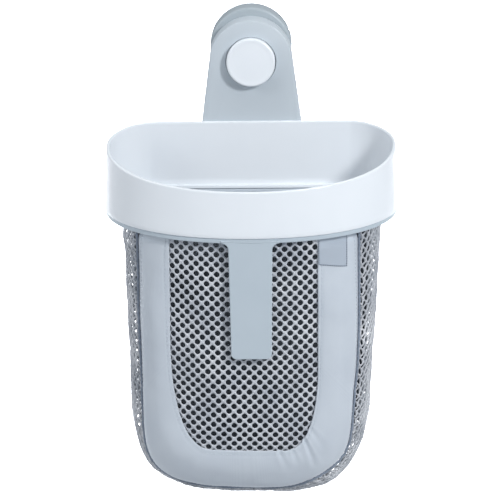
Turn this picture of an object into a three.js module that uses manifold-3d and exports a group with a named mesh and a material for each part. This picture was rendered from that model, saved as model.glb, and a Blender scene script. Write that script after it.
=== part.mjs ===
// Bath toy organizer: a D-shaped scoop basket with a net bag that hangs on a suction mount.
// Millimetres. The wall is the plane y = 0, the basket stands out from it towards -y, z is up,
// and the origin is the centre of the suction cup's face on the wall.
// A "reach" is a distance out from the wall, so a point at reach 20 lies at y = -20.
import * as THREE from 'three';
import { mergeVertices } from 'three/addons/utils/BufferGeometryUtils.js';
import Module from 'manifold-3d';

const wasm = await Module();
wasm.setup();

const touchClearance = 0.3; // left between pieces that seat on each other
const overrun = 2; // how far a cutting solid runs past what it cuts
const screwClearance = 0.3; // round a screw's shank

const cup = {
  radius: 35,
  padRadius: 9,
  padSlope: 1.5,
  recess: 1.2,
  lipWidth: 5,
  edgeThickness: 1.6,
  crownRadius: 14,
  crownReach: 5,
  studRadius: 5.4,
  neckRadius: 3.8,
  headRadius: 5.6,
  headLength: 2.4,
  tabWidth: 14,
  tabThickness: 1.9,
  tabLength: 8,
  tabAngle: 33, // degrees above the horizontal, on the right
};

const cap = {
  radius: 35.7,
  frontReach: 19.5,
  wall: 2.4,
  plate: 3,
  edgeRound: 2.5,
  notchMargin: 1.5, // round the cup's release tab
};

const knob = {
  radius: 21.2,
  frontReach: 45.5,
  frontDrop: 7, // the front face's centre below the cup's centre
  tilt: 5, // degrees that the peg points upwards
  wall: 2.4,
  face: 2.6,
  edgeRound: 1.8,
  bossRadius: 3.2,
  bossCircle: 14.5,
  bossAngles: [30, 150, 270],
};

const screw = {
  shankRadius: 1.3,
  headRadius: 2.8,
  headHeight: 1.8,
  knobLength: 12,
  hoopLength: 9,
  tipLength: 1.5,
};

const handle = {
  frontReach: 37.5,
  arcRadius: 36,
  arcDrop: 7.4, // the top arc's centre below the cup's centre
  flare: 7.4, // degrees that each side leans out going down
  wall: 2.4,
  plate: 2.8,
  edgeRound: 1.6,
  footRound: 8,
  holeClearance: 0.8,
  collarWall: 2.2,
  collarSetback: 4, // the collar's end in front of the cap
  ribThickness: 1.6,
  ribHeight: 8,
  ribHeightOverScrews: 18, // each cross rib above its pair of screws
  upperScrewDrop: 75,
  upperScrewSpread: 30, // from the middle
  lowerScrewDrop: 110,
  lowerScrewSpread: 33,
  washerRadius: 4.8,
  washerHeight: 2,
  bossRadius: 3.4,
};

const rim = {
  halfWidth: 127,
  cornerWidth: 41, // of each back corner, beside the flat back
  wideReach: 82, // where the rim is widest
  frontReach: 180,
  frontPower: 2.12,
  cornerPower: 1.9,
  bottomDrop: 122.6,
  backTopDrop: 60.7,
  topSlope: 0.153, // how fast the top edge falls towards the front
  flare: 0.053, // how fast front and sides lean out going down
  wall: 2.8,
  ledge: 2.4,
  hemRoom: 2.2,
  bossRadius: 3.2,
  bossHeight: 5,
};

const hoop = {
  height: 4,
  inset: 1,
  edgeRound: 0.8,
  mouthClearance: 0.6, // round the bag
  counterbore: 2,
  screwInset: 7.2, // from the rim's widest point
  backScrewOffset: 6, // behind the rim's widest line
  frontScrewOffset: 18, // in front of it
};

const tab = {
  topHalfWidth: 18.3,
  bottomHalfWidth: 17.1,
  bottomDrop: 230,
  thickness: 2.8,
  setback: 1.4, // behind the rim's front
  shoulderRound: 6,
  cornerRound: 4.5,
  edgeRound: 0.7,
};

const bag = {
  sideInset: 15, // from the rim's sides
  frontInset: 6, // from the rim's front
  backInset: 7.2, // from the rim's back
  wideOffset: 6, // the bag's widest line in front of the rim's
  taper: 0.038, // half-width lost for each millimetre going down
  backFlatShare: 0.76,
  frontPower: 2.3,
  cornerPower: 1.5,
  bottomPower: 3.3,
  curveDrop: 276.5, // where the outline starts to close
  curveHeight: 104.7,
  footSwing: 6.5, // how far the outline's foot hangs to the left
  footTilt: 3.5, // how far it is drawn up on the left and let down on the right
  cloth: 1.6,
  frontSeamShare: 0.868, // of the way out to the side, where front panel and gusset meet
  frontSeamShift: 0.022, // further out on the left, and as much less on the right
  backSeamShare: 0.9,
  seamClearance: 0.6,
};

const hem = {
  thickness: 1.6,
  flange: 3.4, // out over the hoop at the sides
  frontFlange: 2.2, // out over the hoop in front
};

const net = {
  windowHalfWidth: 62.7,
  windowShift: -6.2, // the opening sits a little to the left
  windowHeight: 63.9, // its lower edge above the bag's lowest point
  leftCornerWidth: 33,
  leftCornerHeight: 93,
  rightCornerWidth: 28.5,
  rightCornerHeight: 72.5,
  cornerFullness: 0.54, // how far down each corner's side runs before it turns
  cornerFlatness: 0.68, // how much of each corner's foot runs level
  seamAllowance: 5, // net behind the cloth's edge
  thickness: 1,
  setback: 0.9, // behind the cloth
  pitch: 14.2, // between gaps in a row
  thread: 3, // between neighbouring gaps
};

const facets = {
  turn: 48,
  smallTurn: 10,
  bend: 4,
  arc: 16,
  rimFront: 20,
  rimCorner: 8,
  rimFlat: 3,
  bagOutline: 52,
  bagSection: 4,
  panelAcross: 3,
  backColumns: 12,
};

const plastic = (color, roughness) => new THREE.MeshStandardMaterial({ color, roughness, metalness: 0 });
const greyPlastic = () => plastic(0xb4bfc9, 0.45);
const whitePlastic = () => plastic(0xeef1f4, 0.4);
const softPlastic = () => plastic(0xcfd5da, 0.3);
const greyCloth = () => plastic(0xb3bac6, 0.9);
const netCloth = () => plastic(0xc9ccd2, 0.85);
const darkMesh = () => plastic(0x5a6068, 0.9);
const steel = () => new THREE.MeshStandardMaterial({ color: 0xa9adb2, roughness: 0.35, metalness: 1 });

// Places worked out from the sizes above.
const capBackReach = cup.edgeThickness + touchClearance * 2;
const capPlateReach = cap.frontReach - cap.plate;
const handleBackReach = cap.frontReach + touchClearance;
const knobTilt = THREE.MathUtils.degToRad(knob.tilt);
const knobBackDrop = knob.frontDrop + (knob.frontReach - cap.frontReach) * Math.tan(knobTilt);
const knobLength = (knob.frontReach - cap.frontReach) / Math.cos(knobTilt);
const pegFrame = new THREE.Matrix4()
  .makeTranslation(0, -cap.frontReach, -knobBackDrop)
  .multiply(new THREE.Matrix4().makeRotationX(-knobTilt));
const hoopTopDrop = rim.bottomDrop + touchClearance;
const hoopBottomDrop = hoopTopDrop + hoop.height;
const panelTopDrop = hoopBottomDrop - hoop.edgeRound;
const hemBottomDrop = panelTopDrop - touchClearance;
const handleBottomDrop = rim.bottomDrop;
const rimBackReach = handle.frontReach + touchClearance;

const bagHalf = rim.halfWidth - bag.sideInset;
const bagWideReach = rim.wideReach + bag.wideOffset;
const bagFrontDepth = rim.frontReach - bag.frontInset - bagWideReach;
const bagBackDepth = bagWideReach - bag.backInset - rimBackReach;
const bagBottomDrop = bag.curveDrop + bag.curveHeight;
const windowBottomDrop = bagBottomDrop - net.windowHeight;

const rimOutline = {
  halfWidth: rim.halfWidth,
  backFlatHalf: rim.halfWidth - rim.cornerWidth,
  wideReach: rim.wideReach,
  frontDepth: rim.frontReach - rim.wideReach,
  backDepth: rim.wideReach - rimBackReach,
  frontPower: rim.frontPower,
  cornerPower: rim.cornerPower,
};

const bagOutline = {
  halfWidth: bagHalf,
  backFlatHalf: bagHalf * bag.backFlatShare,
  wideReach: bagWideReach,
  frontDepth: bagFrontDepth,
  backDepth: bagBackDepth,
  frontPower: bag.frontPower,
  cornerPower: bag.cornerPower,
};

function grown(outline, side, front = side) {
  return {
    ...outline,
    halfWidth: outline.halfWidth + side,
    frontDepth: outline.frontDepth + front,
    backDepth: outline.backDepth + front,
  };
}

// Turning a geometry into a solid for joining and cutting, and back.
function solidOf(geometry) {
  const bare = geometry.clone();
  bare.deleteAttribute('normal');
  bare.deleteAttribute('uv');
  const merged = mergeVertices(bare);
  const corners = merged.index.array;
  const kept = [];
  for (let i = 0; i < corners.length; i += 3) {
    const [a, b, c] = [corners[i], corners[i + 1], corners[i + 2]];
    if (a !== b && b !== c && c !== a) kept.push(a, b, c);
  }
  return new wasm.Manifold(
    new wasm.Mesh({
      numProp: 3,
      vertProperties: new Float32Array(merged.attributes.position.array),
      triVerts: new Uint32Array(kept),
    }),
  );
}

function geometryOf(solid) {
  const mesh = solid.getMesh();
  const geometry = new THREE.BufferGeometry();
  geometry.setAttribute('position', new THREE.BufferAttribute(new Float32Array(mesh.vertProperties), 3));
  geometry.setIndex(new THREE.BufferAttribute(new Uint32Array(mesh.triVerts), 1));
  geometry.computeVertexNormals();
  return geometry;
}

// A closed surface from points and triangles, turned so that its faces point out.
function closedGeometry(points, corners) {
  let volume = 0;
  for (let i = 0; i < corners.length; i += 3) {
    const [a, b, c] = [points[corners[i]], points[corners[i + 1]], points[corners[i + 2]]];
    volume += a.dot(new THREE.Vector3().crossVectors(b, c));
  }
  const facing = volume > 0 ? corners : corners.slice().reverse();
  const geometry = new THREE.BufferGeometry().setFromPoints(points);
  geometry.setIndex(facing);
  geometry.computeVertexNormals();
  return geometry;
}

// A profile of [radius, reach] pairs turned round the y axis, its reach running out from the wall.
function turned(profile, segments = facets.turn) {
  const points = profile.map(([radius, reach]) => new THREE.Vector2(radius, reach));
  return new THREE.LatheGeometry(points, segments).rotateX(Math.PI);
}

// An outline drawn in x and z, pushed out from one reach to another, its front edge rounded.
function pushedOut(shape, fromReach, toReach, round, curveSegments) {
  const rounding = { bevelEnabled: round > 0, bevelThickness: round, bevelSize: round, bevelOffset: -round };
  const geometry = new THREE.ExtrudeGeometry(shape, {
    depth: toReach - fromReach - round * 2,
    curveSegments,
    bevelSegments: facets.bend / 2,
    ...rounding,
  });
  geometry.rotateX(Math.PI / 2);
  return geometry.translate(0, -fromReach - round, 0);
}

function block(width, depth, height, x, reach, z) {
  return new THREE.BoxGeometry(width, depth, height).translate(x, -reach, z);
}

// A round bar along y between two reaches, or along the peg's own tilted axis.
function bar(radius, fromReach, toReach, x = 0, z = 0, segments = facets.smallTurn) {
  const length = toReach - fromReach;
  return new THREE.CylinderGeometry(radius, radius, length, segments).translate(x, -fromReach - length / 2, z);
}

function quarterRound(radius, reach, round) {
  const points = [];
  for (let i = 0; i <= facets.bend; i += 1) {
    const angle = (i / facets.bend) * (Math.PI / 2);
    points.push([radius - round * (1 - Math.cos(angle)), reach - round * (1 - Math.sin(angle))]);
  }
  return points;
}

// The right half of a D in plan, from the front's middle round to the back's middle, then its mirror.
function planPoints(outline) {
  const half = [];
  const backY = -outline.wideReach + outline.backDepth;
  const corner = outline.halfWidth - outline.backFlatHalf;
  for (let i = 0; i <= facets.rimFront; i += 1) {
    const angle = (i / facets.rimFront) * (Math.PI / 2);
    const across = Math.sin(angle) ** (2 / outline.frontPower);
    const forward = Math.max(Math.cos(angle), 0) ** (2 / outline.frontPower);
    half.push(new THREE.Vector2(outline.halfWidth * across, -outline.wideReach - outline.frontDepth * forward));
  }
  for (let i = 1; i <= facets.rimCorner; i += 1) {
    // The corner is sharpest where it meets the flat back, so the stops crowd there.
    const angle = (1 - (1 - i / facets.rimCorner) ** 2) * (Math.PI / 2);
    const across = Math.max(Math.cos(angle), 0) ** (2 / outline.cornerPower);
    const back = Math.sin(angle) ** (2 / outline.cornerPower);
    half.push(
      new THREE.Vector2(outline.backFlatHalf + corner * across, -outline.wideReach + outline.backDepth * back),
    );
  }
  for (let i = 1; i <= facets.rimFlat; i += 1) {
    half.push(new THREE.Vector2(outline.backFlatHalf * (1 - i / facets.rimFlat), backY));
  }
  const mirrored = half.slice(1, -1).reverse();
  return [...half, ...mirrored.map((point) => new THREE.Vector2(-point.x, point.y))];
}

function inwardNormals(points) {
  return points.map((point, i) => {
    const next = points[(i + 1) % points.length];
    const last = points[(i + points.length - 1) % points.length];
    const along = new THREE.Vector2().subVectors(next, last).normalize();
    return new THREE.Vector2(-along.y, along.x);
  });
}

// A section carried round a closed path: sections[i] holds the section's points at stop i.
function ringOf(sections) {
  const size = sections[0].length;
  const points = sections.flat();
  const corners = [];
  for (let i = 0; i < sections.length; i += 1) {
    const here = i * size;
    const there = ((i + 1) % sections.length) * size;
    for (let j = 0; j < size; j += 1) {
      const k = (j + 1) % size;
      corners.push(here + j, there + j, there + k, here + j, there + k, here + k);
    }
  }
  return closedGeometry(points, corners);
}

// A sheet of the given thickness: rows of outer points, with the inner side found along the normals.
function sheetOf(rows, thickness, inside) {
  const columns = rows[0].length;
  const outer = rows.flat();
  const inner = outer.map((point, index) => {
    const i = Math.floor(index / columns);
    const j = index % columns;
    const up = rows[Math.min(i + 1, rows.length - 1)][j];
    const down = rows[Math.max(i - 1, 0)][j];
    const right = rows[i][Math.min(j + 1, columns - 1)];
    const left = rows[i][Math.max(j - 1, 0)];
    const normal = new THREE.Vector3()
      .crossVectors(new THREE.Vector3().subVectors(up, down), new THREE.Vector3().subVectors(right, left))
      .normalize();
    if (normal.dot(new THREE.Vector3().subVectors(inside, point)) < 0) normal.negate();
    return point.clone().addScaledVector(normal, thickness);
  });
  const corners = [];
  const count = outer.length;
  const quad = (a, b, c, d) => corners.push(a, b, c, a, c, d);
  for (let i = 0; i < rows.length - 1; i += 1) {
    for (let j = 0; j < columns - 1; j += 1) {
      const a = i * columns + j;
      quad(a, a + 1, a + columns + 1, a + columns);
      quad(count + a, count + a + columns, count + a + columns + 1, count + a + 1);
    }
  }
  for (let j = 0; j < columns - 1; j += 1) {
    const last = (rows.length - 1) * columns + j;
    quad(j, count + j, count + j + 1, j + 1);
    quad(last + 1, count + last + 1, count + last, last);
  }
  for (let i = 0; i < rows.length - 1; i += 1) {
    const first = i * columns;
    const end = first + columns - 1;
    quad(first + columns, count + first + columns, count + first, first);
    quad(end, count + end, count + end + columns, end + columns);
  }
  return closedGeometry([...outer, ...inner], corners);
}

function suctionCup() {
  const lipStart = cup.radius - cup.lipWidth;
  const neckStart = capPlateReach - touchClearance;
  const neckEnd = cap.frontReach + touchClearance;
  const body = turned([
    [0, 0],
    [cup.padRadius, 0],
    [cup.padRadius + cup.padSlope, cup.recess],
    [lipStart - cup.padSlope, cup.recess],
    [lipStart, 0],
    [cup.radius, 0],
    [cup.radius, cup.edgeThickness],
    [cup.crownRadius, cup.crownReach],
    [cup.studRadius, cup.crownReach],
    [cup.studRadius, neckStart],
    [cup.neckRadius, neckStart],
    [cup.neckRadius, neckEnd],
    [cup.headRadius, neckEnd],
    [cup.headRadius, neckEnd + cup.headLength / 2],
    [cup.neckRadius, neckEnd + cup.headLength],
    [0, neckEnd + cup.headLength],
  ]);
  // The release tab is a piece of the lip's edge that turns out from the wall, through the cap's notch.
  const tabOuter = cap.radius - touchClearance;
  const tabInner = tabOuter - cup.tabThickness;
  const edge = turned([
    [tabInner, cup.edgeThickness / 2],
    [tabOuter, cup.edgeThickness / 2],
    [tabOuter, cup.tabLength],
    [tabInner, cup.tabLength],
    [tabInner, cup.edgeThickness / 2],
  ]);
  const slice = tabSector(cup.tabWidth, 0, cup.tabLength + overrun);
  return geometryOf(solidOf(body).add(solidOf(edge).intersect(solidOf(slice))));
}

// A block that covers the cup's edge at the release tab, between two reaches.
function tabSector(width, fromReach, toReach) {
  const length = cup.radius;
  const sector = block(length, toReach - fromReach, width, length, (fromReach + toReach) / 2, 0);
  return sector.rotateY(-THREE.MathUtils.degToRad(cup.tabAngle));
}

function knobScrewPlaces() {
  return knob.bossAngles.map((degrees) => {
    const angle = THREE.MathUtils.degToRad(degrees);
    return [knob.bossCircle * Math.cos(angle), knob.bossCircle * Math.sin(angle) - knobBackDrop];
  });
}

function mountCap() {
  const holeRadius = cup.neckRadius + touchClearance;
  const innerRadius = cap.radius - cap.wall;
  let solid = solidOf(
    turned([
      [holeRadius, capPlateReach],
      [innerRadius, capPlateReach],
      [innerRadius, capBackReach],
      [cap.radius, capBackReach],
      ...quarterRound(cap.radius, cap.frontReach, cap.edgeRound),
      [holeRadius, cap.frontReach],
      [holeRadius, capPlateReach],
    ]),
  );
  const notchEnd = cup.tabLength + cap.notchMargin;
  const notch = tabSector(cup.tabWidth + cap.notchMargin * 2, 0, notchEnd);
  solid = solid.subtract(solidOf(notch));
  for (const [x, z] of knobScrewPlaces()) {
    const hole = bar(screw.shankRadius + screwClearance, capPlateReach - overrun, cap.frontReach + overrun, x, z);
    solid = solid.subtract(solidOf(hole));
  }
  return geometryOf(solid);
}

// The peg is modelled along its own axis and then tilted, and its back is cut flat on the cap.
function hangingKnob() {
  const inner = knob.radius - knob.wall;
  const skin = [[knob.radius, -overrun], ...quarterRound(knob.radius, knobLength, knob.edgeRound), [0, knobLength]];
  const hollow = [
    [0, knobLength - knob.face],
    [inner, knobLength - knob.face],
    [inner, -overrun],
  ];
  const shell = turned([[inner, -overrun], ...skin, ...hollow]).applyMatrix4(pegFrame);
  const envelope = solidOf(turned([[0, -overrun], ...skin]).applyMatrix4(pegFrame));
  let solid = solidOf(shell);
  const seatReach = cap.frontReach + touchClearance;
  for (const [x, z] of knobScrewPlaces()) {
    const boss = bar(knob.bossRadius, seatReach - overrun, knob.frontReach + overrun, x, z);
    const pilotEnd = capPlateReach - touchClearance + screw.knobLength + overrun / 2;
    const pilot = bar(screw.shankRadius + screwClearance, seatReach - overrun * 2, pilotEnd, x, z);
    solid = solid.add(solidOf(boss).intersect(envelope)).subtract(solidOf(pilot));
  }
  const spread = knob.radius * 4;
  const behind = block(spread, cap.frontReach, spread, 0, seatReach - cap.frontReach / 2, -knobBackDrop);
  return geometryOf(solid.subtract(solidOf(behind)));
}

// A screw points out from the wall: its head's seat is at reach 0.
function screwGeometry(length, headRadius, headHeight) {
  return turned(
    [
      [0, -headHeight],
      [headRadius * 0.6, -headHeight],
      [headRadius, -headHeight / 2],
      [headRadius, 0],
      [screw.shankRadius, 0],
      [screw.shankRadius, length - screw.tipLength],
      [0, length],
    ],
    facets.smallTurn,
  );
}

function handleHalfWidth(drop) {
  const flare = THREE.MathUtils.degToRad(handle.flare);
  const tangentDrop = handle.arcDrop - handle.arcRadius * Math.sin(flare);
  return handle.arcRadius * Math.cos(flare) + (drop - tangentDrop) * Math.tan(flare);
}

// The tongue's outline: a round top, and straight sides that lean out going down.
function tongueShape(inset) {
  const flare = THREE.MathUtils.degToRad(handle.flare);
  const radius = handle.arcRadius - inset;
  const bottomZ = -handleBottomDrop + inset;
  const bottomHalf = handleHalfWidth(handleBottomDrop - inset) - inset / Math.cos(flare);
  const round = handle.footRound - inset;
  const shape = new THREE.Shape();
  shape.moveTo(-bottomHalf + round, bottomZ);
  shape.lineTo(bottomHalf - round, bottomZ);
  shape.quadraticCurveTo(bottomHalf, bottomZ, bottomHalf - round * Math.tan(flare), bottomZ + round);
  shape.absarc(0, -handle.arcDrop, radius, flare, Math.PI - flare, false);
  shape.lineTo(-bottomHalf + round * Math.tan(flare), bottomZ + round);
  shape.quadraticCurveTo(-bottomHalf, bottomZ, -bottomHalf + round, bottomZ);
  return shape;
}

function handleScrewPlaces() {
  return [-1, 1].flatMap((side) => [
    [side * handle.upperScrewSpread, -handle.upperScrewDrop],
    [side * handle.lowerScrewSpread, -handle.lowerScrewDrop],
  ]);
}

function handleShell() {
  const plateReach = handle.frontReach - handle.plate;
  const outer = pushedOut(tongueShape(0), handleBackReach - overrun, handle.frontReach, handle.edgeRound, facets.arc);
  const cavity = pushedOut(tongueShape(handle.wall), handleBackReach - overrun * 2, plateReach, 0, facets.arc);
  const spread = rim.halfWidth * 2;
  const backCut = block(spread, handleBackReach, spread * 2, 0, handleBackReach / 2, 0);
  const shell = solidOf(outer).subtract(solidOf(backCut)).subtract(solidOf(cavity));
  const holeRadius = knob.radius + handle.holeClearance;
  const collarRadius = holeRadius + handle.collarWall;
  // The hole's upper edge rests on the peg, so its middle sits a little below the peg's.
  const hang = touchClearance - handle.holeClearance;
  const collar = bar(collarRadius, handle.collarSetback, knobLength, 0, hang, facets.turn).applyMatrix4(pegFrame);
  const hole = bar(holeRadius, -overrun * 2, knobLength + overrun, 0, hang, facets.turn).applyMatrix4(pegFrame);
  const frontCut = block(spread, spread, spread * 2, 0, plateReach + (handle.plate + spread) / 2, 0);
  let solid = shell.add(solidOf(collar).subtract(solidOf(frontCut)));
  for (const rib of handleRibs(plateReach)) solid = solid.add(solidOf(rib));
  solid = solid.subtract(solidOf(hole));
  for (const [x, z] of handleScrewPlaces()) {
    const bossHole = bar(handle.bossRadius + touchClearance, plateReach - overrun, handle.frontReach + overrun, x, z);
    solid = solid.subtract(solidOf(bossHole));
  }
  return geometryOf(solid);
}

// One rib down the middle and one across at each level, standing on the back of the tongue's plate.
function handleRibs(plateReach) {
  const ribReach = plateReach - handle.ribHeight / 2 + overrun / 4;
  const depth = handle.ribHeight + overrun / 2;
  const collarBottomDrop = knobBackDrop + knob.radius + handle.holeClearance;
  const length = handleBottomDrop - collarBottomDrop - handle.wall / 2;
  const middle = -(collarBottomDrop + length / 2);
  const ribs = [block(handle.ribThickness, depth, length, 0, ribReach, middle)];
  for (const screwDrop of [handle.upperScrewDrop, handle.lowerScrewDrop]) {
    const drop = screwDrop - handle.ribHeightOverScrews;
    const width = (handleHalfWidth(drop) - handle.wall / 2) * 2;
    ribs.push(block(width, depth, handle.ribThickness, 0, ribReach, -drop));
  }
  return ribs;
}

function rimTop(y) {
  return -rim.backTopDrop - rim.topSlope * (-rimBackReach - y);
}

// The white band: a wall with a rounded lip, and a ledge at its foot that holds the bag's hem down.
function rimBand() {
  const outer = planPoints(rimOutline);
  const mouth = planPoints(grown(bagOutline, hoop.mouthClearance));
  const normals = inwardNormals(outer);
  const bottomZ = -rim.bottomDrop;
  const ledgeZ = bottomZ + rim.hemRoom;
  const sections = outer.map((foot, i) => {
    const normal = normals[i];
    const top = rimTop(foot.y);
    const lean = rim.flare * (top - bottomZ) * (foot.y < -rim.wideReach ? 1 : Math.abs(normal.x));
    const at = (inset, z) => new THREE.Vector3(foot.x + normal.x * inset, foot.y + normal.y * inset, z);
    const lip = [];
    for (let j = 0; j <= facets.bend; j += 1) {
      const angle = Math.PI * (j / facets.bend);
      const half = rim.wall / 2;
      lip.push(at(lean + half - half * Math.cos(angle), top - half + half * Math.sin(angle)));
    }
    return [
      at(0, bottomZ),
      ...lip,
      at(rim.wall, ledgeZ + rim.ledge),
      new THREE.Vector3(mouth[i].x, mouth[i].y, ledgeZ + rim.ledge),
      new THREE.Vector3(mouth[i].x, mouth[i].y, ledgeZ),
      at(rim.wall, ledgeZ),
      at(rim.wall, bottomZ),
    ];
  });
  let solid = solidOf(ringOf(sections));
  for (const [x, z] of handleScrewPlaces()) {
    const bossBack = handle.frontReach - handle.plate + touchClearance;
    const boss = bar(handle.bossRadius, bossBack, rimBackReach + rim.wall / 2, x, z);
    solid = solid.add(solidOf(boss));
    const pilot = bar(screw.shankRadius + screwClearance, bossBack - overrun, rimBackReach + rim.wall * 0.75, x, z);
    solid = solid.subtract(solidOf(pilot));
  }
  for (const [x, y] of hoopScrewPlaces()) {
    const bossTop = ledgeZ + rim.ledge + rim.bossHeight;
    solid = solid.add(solidOf(post(rim.bossRadius, bottomZ, bossTop, x, y)));
    const pilotTop = bossTop - rim.wall / 2;
    solid = solid.subtract(solidOf(post(screw.shankRadius + screwClearance, bottomZ - overrun, pilotTop, x, y)));
  }
  return geometryOf(solid);
}

// A round post along z between two heights.
function post(radius, fromZ, toZ, x, y) {
  const length = toZ - fromZ;
  const geometry = new THREE.CylinderGeometry(radius, radius, length, facets.smallTurn);
  return geometry.rotateX(Math.PI / 2).translate(x, y, fromZ + length / 2);
}

function hoopScrewPlaces() {
  const halfSpread = rim.halfWidth - hoop.screwInset;
  const reaches = [rim.wideReach - hoop.backScrewOffset, rim.wideReach + hoop.frontScrewOffset];
  return reaches.flatMap((reach) => [-1, 1].map((side) => [side * halfSpread, -reach]));
}

// The grey ring under the rim, and the tab that hangs from its front.
function hoopWithTab() {
  const outer = planPoints(grown(rimOutline, -hoop.inset));
  const mouth = planPoints(grown(bagOutline, hoop.mouthClearance));
  const normals = inwardNormals(outer);
  const topZ = -hoopTopDrop;
  const bottomZ = -hoopBottomDrop;
  const sections = outer.map((edge, i) => [
    new THREE.Vector3(edge.x, edge.y, topZ),
    new THREE.Vector3(mouth[i].x, mouth[i].y, topZ),
    new THREE.Vector3(mouth[i].x, mouth[i].y, bottomZ),
    new THREE.Vector3(edge.x + normals[i].x * hoop.edgeRound, edge.y + normals[i].y * hoop.edgeRound, bottomZ),
    new THREE.Vector3(edge.x, edge.y, bottomZ + hoop.edgeRound),
  ]);
  const tabFront = rim.frontReach - tab.setback;
  const plate = pushedOut(tabShape(), tabFront - tab.thickness, tabFront, tab.edgeRound, facets.bend);
  let solid = solidOf(ringOf(sections)).add(solidOf(plate));
  for (const [x, y] of hoopScrewPlaces()) {
    const shankHole = post(screw.shankRadius + screwClearance, bottomZ - overrun, topZ + overrun, x, y);
    const headRoom = post(screw.headRadius + screwClearance, bottomZ - overrun, bottomZ + hoop.counterbore, x, y);
    solid = solid.subtract(solidOf(shankHole)).subtract(solidOf(headRoom));
  }
  return geometryOf(solid);
}

function tabShape() {
  const topZ = -hoopTopDrop - hoop.edgeRound;
  const shoulderZ = -hoopBottomDrop;
  const bottomZ = -tab.bottomDrop;
  const shoulder = tab.shoulderRound;
  const corner = tab.cornerRound;
  const shape = new THREE.Shape();
  shape.moveTo(-tab.topHalfWidth - shoulder, topZ);
  shape.lineTo(-tab.topHalfWidth - shoulder, shoulderZ);
  shape.quadraticCurveTo(-tab.topHalfWidth, shoulderZ, -tab.topHalfWidth, shoulderZ - shoulder);
  shape.lineTo(-tab.bottomHalfWidth, bottomZ + corner);
  shape.quadraticCurveTo(-tab.bottomHalfWidth, bottomZ, -tab.bottomHalfWidth + corner, bottomZ);
  shape.lineTo(tab.bottomHalfWidth - corner, bottomZ);
  shape.quadraticCurveTo(tab.bottomHalfWidth, bottomZ, tab.bottomHalfWidth, bottomZ + corner);
  shape.lineTo(tab.topHalfWidth, shoulderZ - shoulder);
  shape.quadraticCurveTo(tab.topHalfWidth, shoulderZ, tab.topHalfWidth + shoulder, shoulderZ);
  shape.lineTo(tab.topHalfWidth + shoulder, topZ);
  return shape;
}

// The stiff tape at the bag's top: a flange that lies on the hoop, and a leg down through its mouth.
function hemTape() {
  const leg = planPoints(bagOutline);
  const legInner = planPoints(grown(bagOutline, -hem.thickness));
  const flange = planPoints(grown(bagOutline, hem.flange, hem.frontFlange));
  const topZ = -rim.bottomDrop + hem.thickness;
  const flangeZ = -rim.bottomDrop;
  const at = (point, z) => new THREE.Vector3(point.x, point.y, z);
  const sections = leg.map((point, i) => [
    at(flange[i], topZ),
    at(legInner[i], topZ),
    at(legInner[i], -hemBottomDrop),
    at(point, -hemBottomDrop),
    at(point, flangeZ),
    at(flange[i], flangeZ),
  ]);
  const room = ringRoom(planPoints(grown(rimOutline, -rim.wall - touchClearance)), -rim.bottomDrop - hoop.height, topZ);
  return geometryOf(solidOf(ringOf(sections)).intersect(solidOf(room)));
}

// The solid inside a plan outline, between two heights, with a margin above and below.
function ringRoom(outline, fromZ, toZ) {
  const depth = toZ - fromZ + overrun * 2;
  return new THREE.ExtrudeGeometry(new THREE.Shape(outline), { depth, bevelEnabled: false }).translate(
    0,
    0,
    fromZ - overrun,
  );
}

// The bag. Seen from the front its outline is a U; "gauge" is 0 on the middle and 1 on that outline.
const uLegs = 3;

function bagHalfWidth(z) {
  return bagHalf - bag.taper * (-panelTopDrop - z);
}

function gaugeAt(x, z) {
  const across = Math.abs(x) / bagHalfWidth(z);
  const down = Math.max(0, (-bag.curveDrop - z) / bag.curveHeight);
  return (across ** bag.bottomPower + down ** bag.bottomPower) ** (1 / bag.bottomPower);
}

function frontReachAt(x, z) {
  const gauge = Math.min(gaugeAt(x, z), 1);
  return bagWideReach + bagFrontDepth * (1 - gauge ** bag.frontPower) ** (1 / bag.frontPower);
}

function backReachAt(gauge) {
  const corner = Math.min(Math.max((gauge - bag.backFlatShare) / (1 - bag.backFlatShare), 0), 1);
  return bagWideReach - bagBackDepth * (1 - corner ** bag.cornerPower) ** (1 / bag.cornerPower);
}

// A point on the U at a gauge. The way runs from 0 at the top left to 1 at the top right, a leg for each side
// and the bottom.
function outlinePoint(way, gauge) {
  const t = way * uLegs;
  if (t > 1 && t < uLegs - 1) {
    const angle = Math.PI * (t - 1);
    const across = -Math.sign(Math.cos(angle)) * Math.abs(Math.cos(angle)) ** (2 / bag.bottomPower);
    const z = -bag.curveDrop - bag.curveHeight * gauge * Math.sin(angle) ** (2 / bag.bottomPower);
    return new THREE.Vector2(bagHalfWidth(z) * gauge * across, z);
  }
  const side = t <= 1 ? -1 : 1;
  const share = t <= 1 ? t : uLegs - t;
  const z = -panelTopDrop - (bag.curveDrop - panelTopDrop) * share;
  return new THREE.Vector2(side * bagHalfWidth(z) * gauge, z);
}

// Even stops along the U, which every panel of the bag shares, so that neighbours' edges run side by side.
function outlineStops() {
  const fine = facets.bagOutline * facets.arc;
  const lengths = [0];
  for (let i = 1; i <= fine; i += 1) {
    lengths.push(lengths[i - 1] + outlinePoint((i - 1) / fine, 1).distanceTo(outlinePoint(i / fine, 1)));
  }
  const stops = [];
  let k = 0;
  for (let i = 0; i < facets.bagOutline; i += 1) {
    const target = (lengths[fine] * i) / facets.bagOutline;
    while (lengths[k + 1] <= target) k += 1;
    stops.push((k + (target - lengths[k]) / (lengths[k + 1] - lengths[k])) / fine);
  }
  return [...stops, 1];
}

function evenlySpaced(points, count) {
  const lengths = [0];
  for (let i = 1; i < points.length; i += 1) lengths.push(lengths[i - 1] + points[i].distanceTo(points[i - 1]));
  const total = lengths[lengths.length - 1];
  const spaced = [];
  for (let i = 0; i <= count; i += 1) {
    const target = (total * i) / count;
    let k = 1;
    while (k < points.length - 1 && lengths[k] < target) k += 1;
    const share = (target - lengths[k - 1]) / (lengths[k] - lengths[k - 1]);
    spaced.push(new THREE.Vector2().lerpVectors(points[k - 1], points[k], share));
  }
  return spaced;
}

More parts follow.
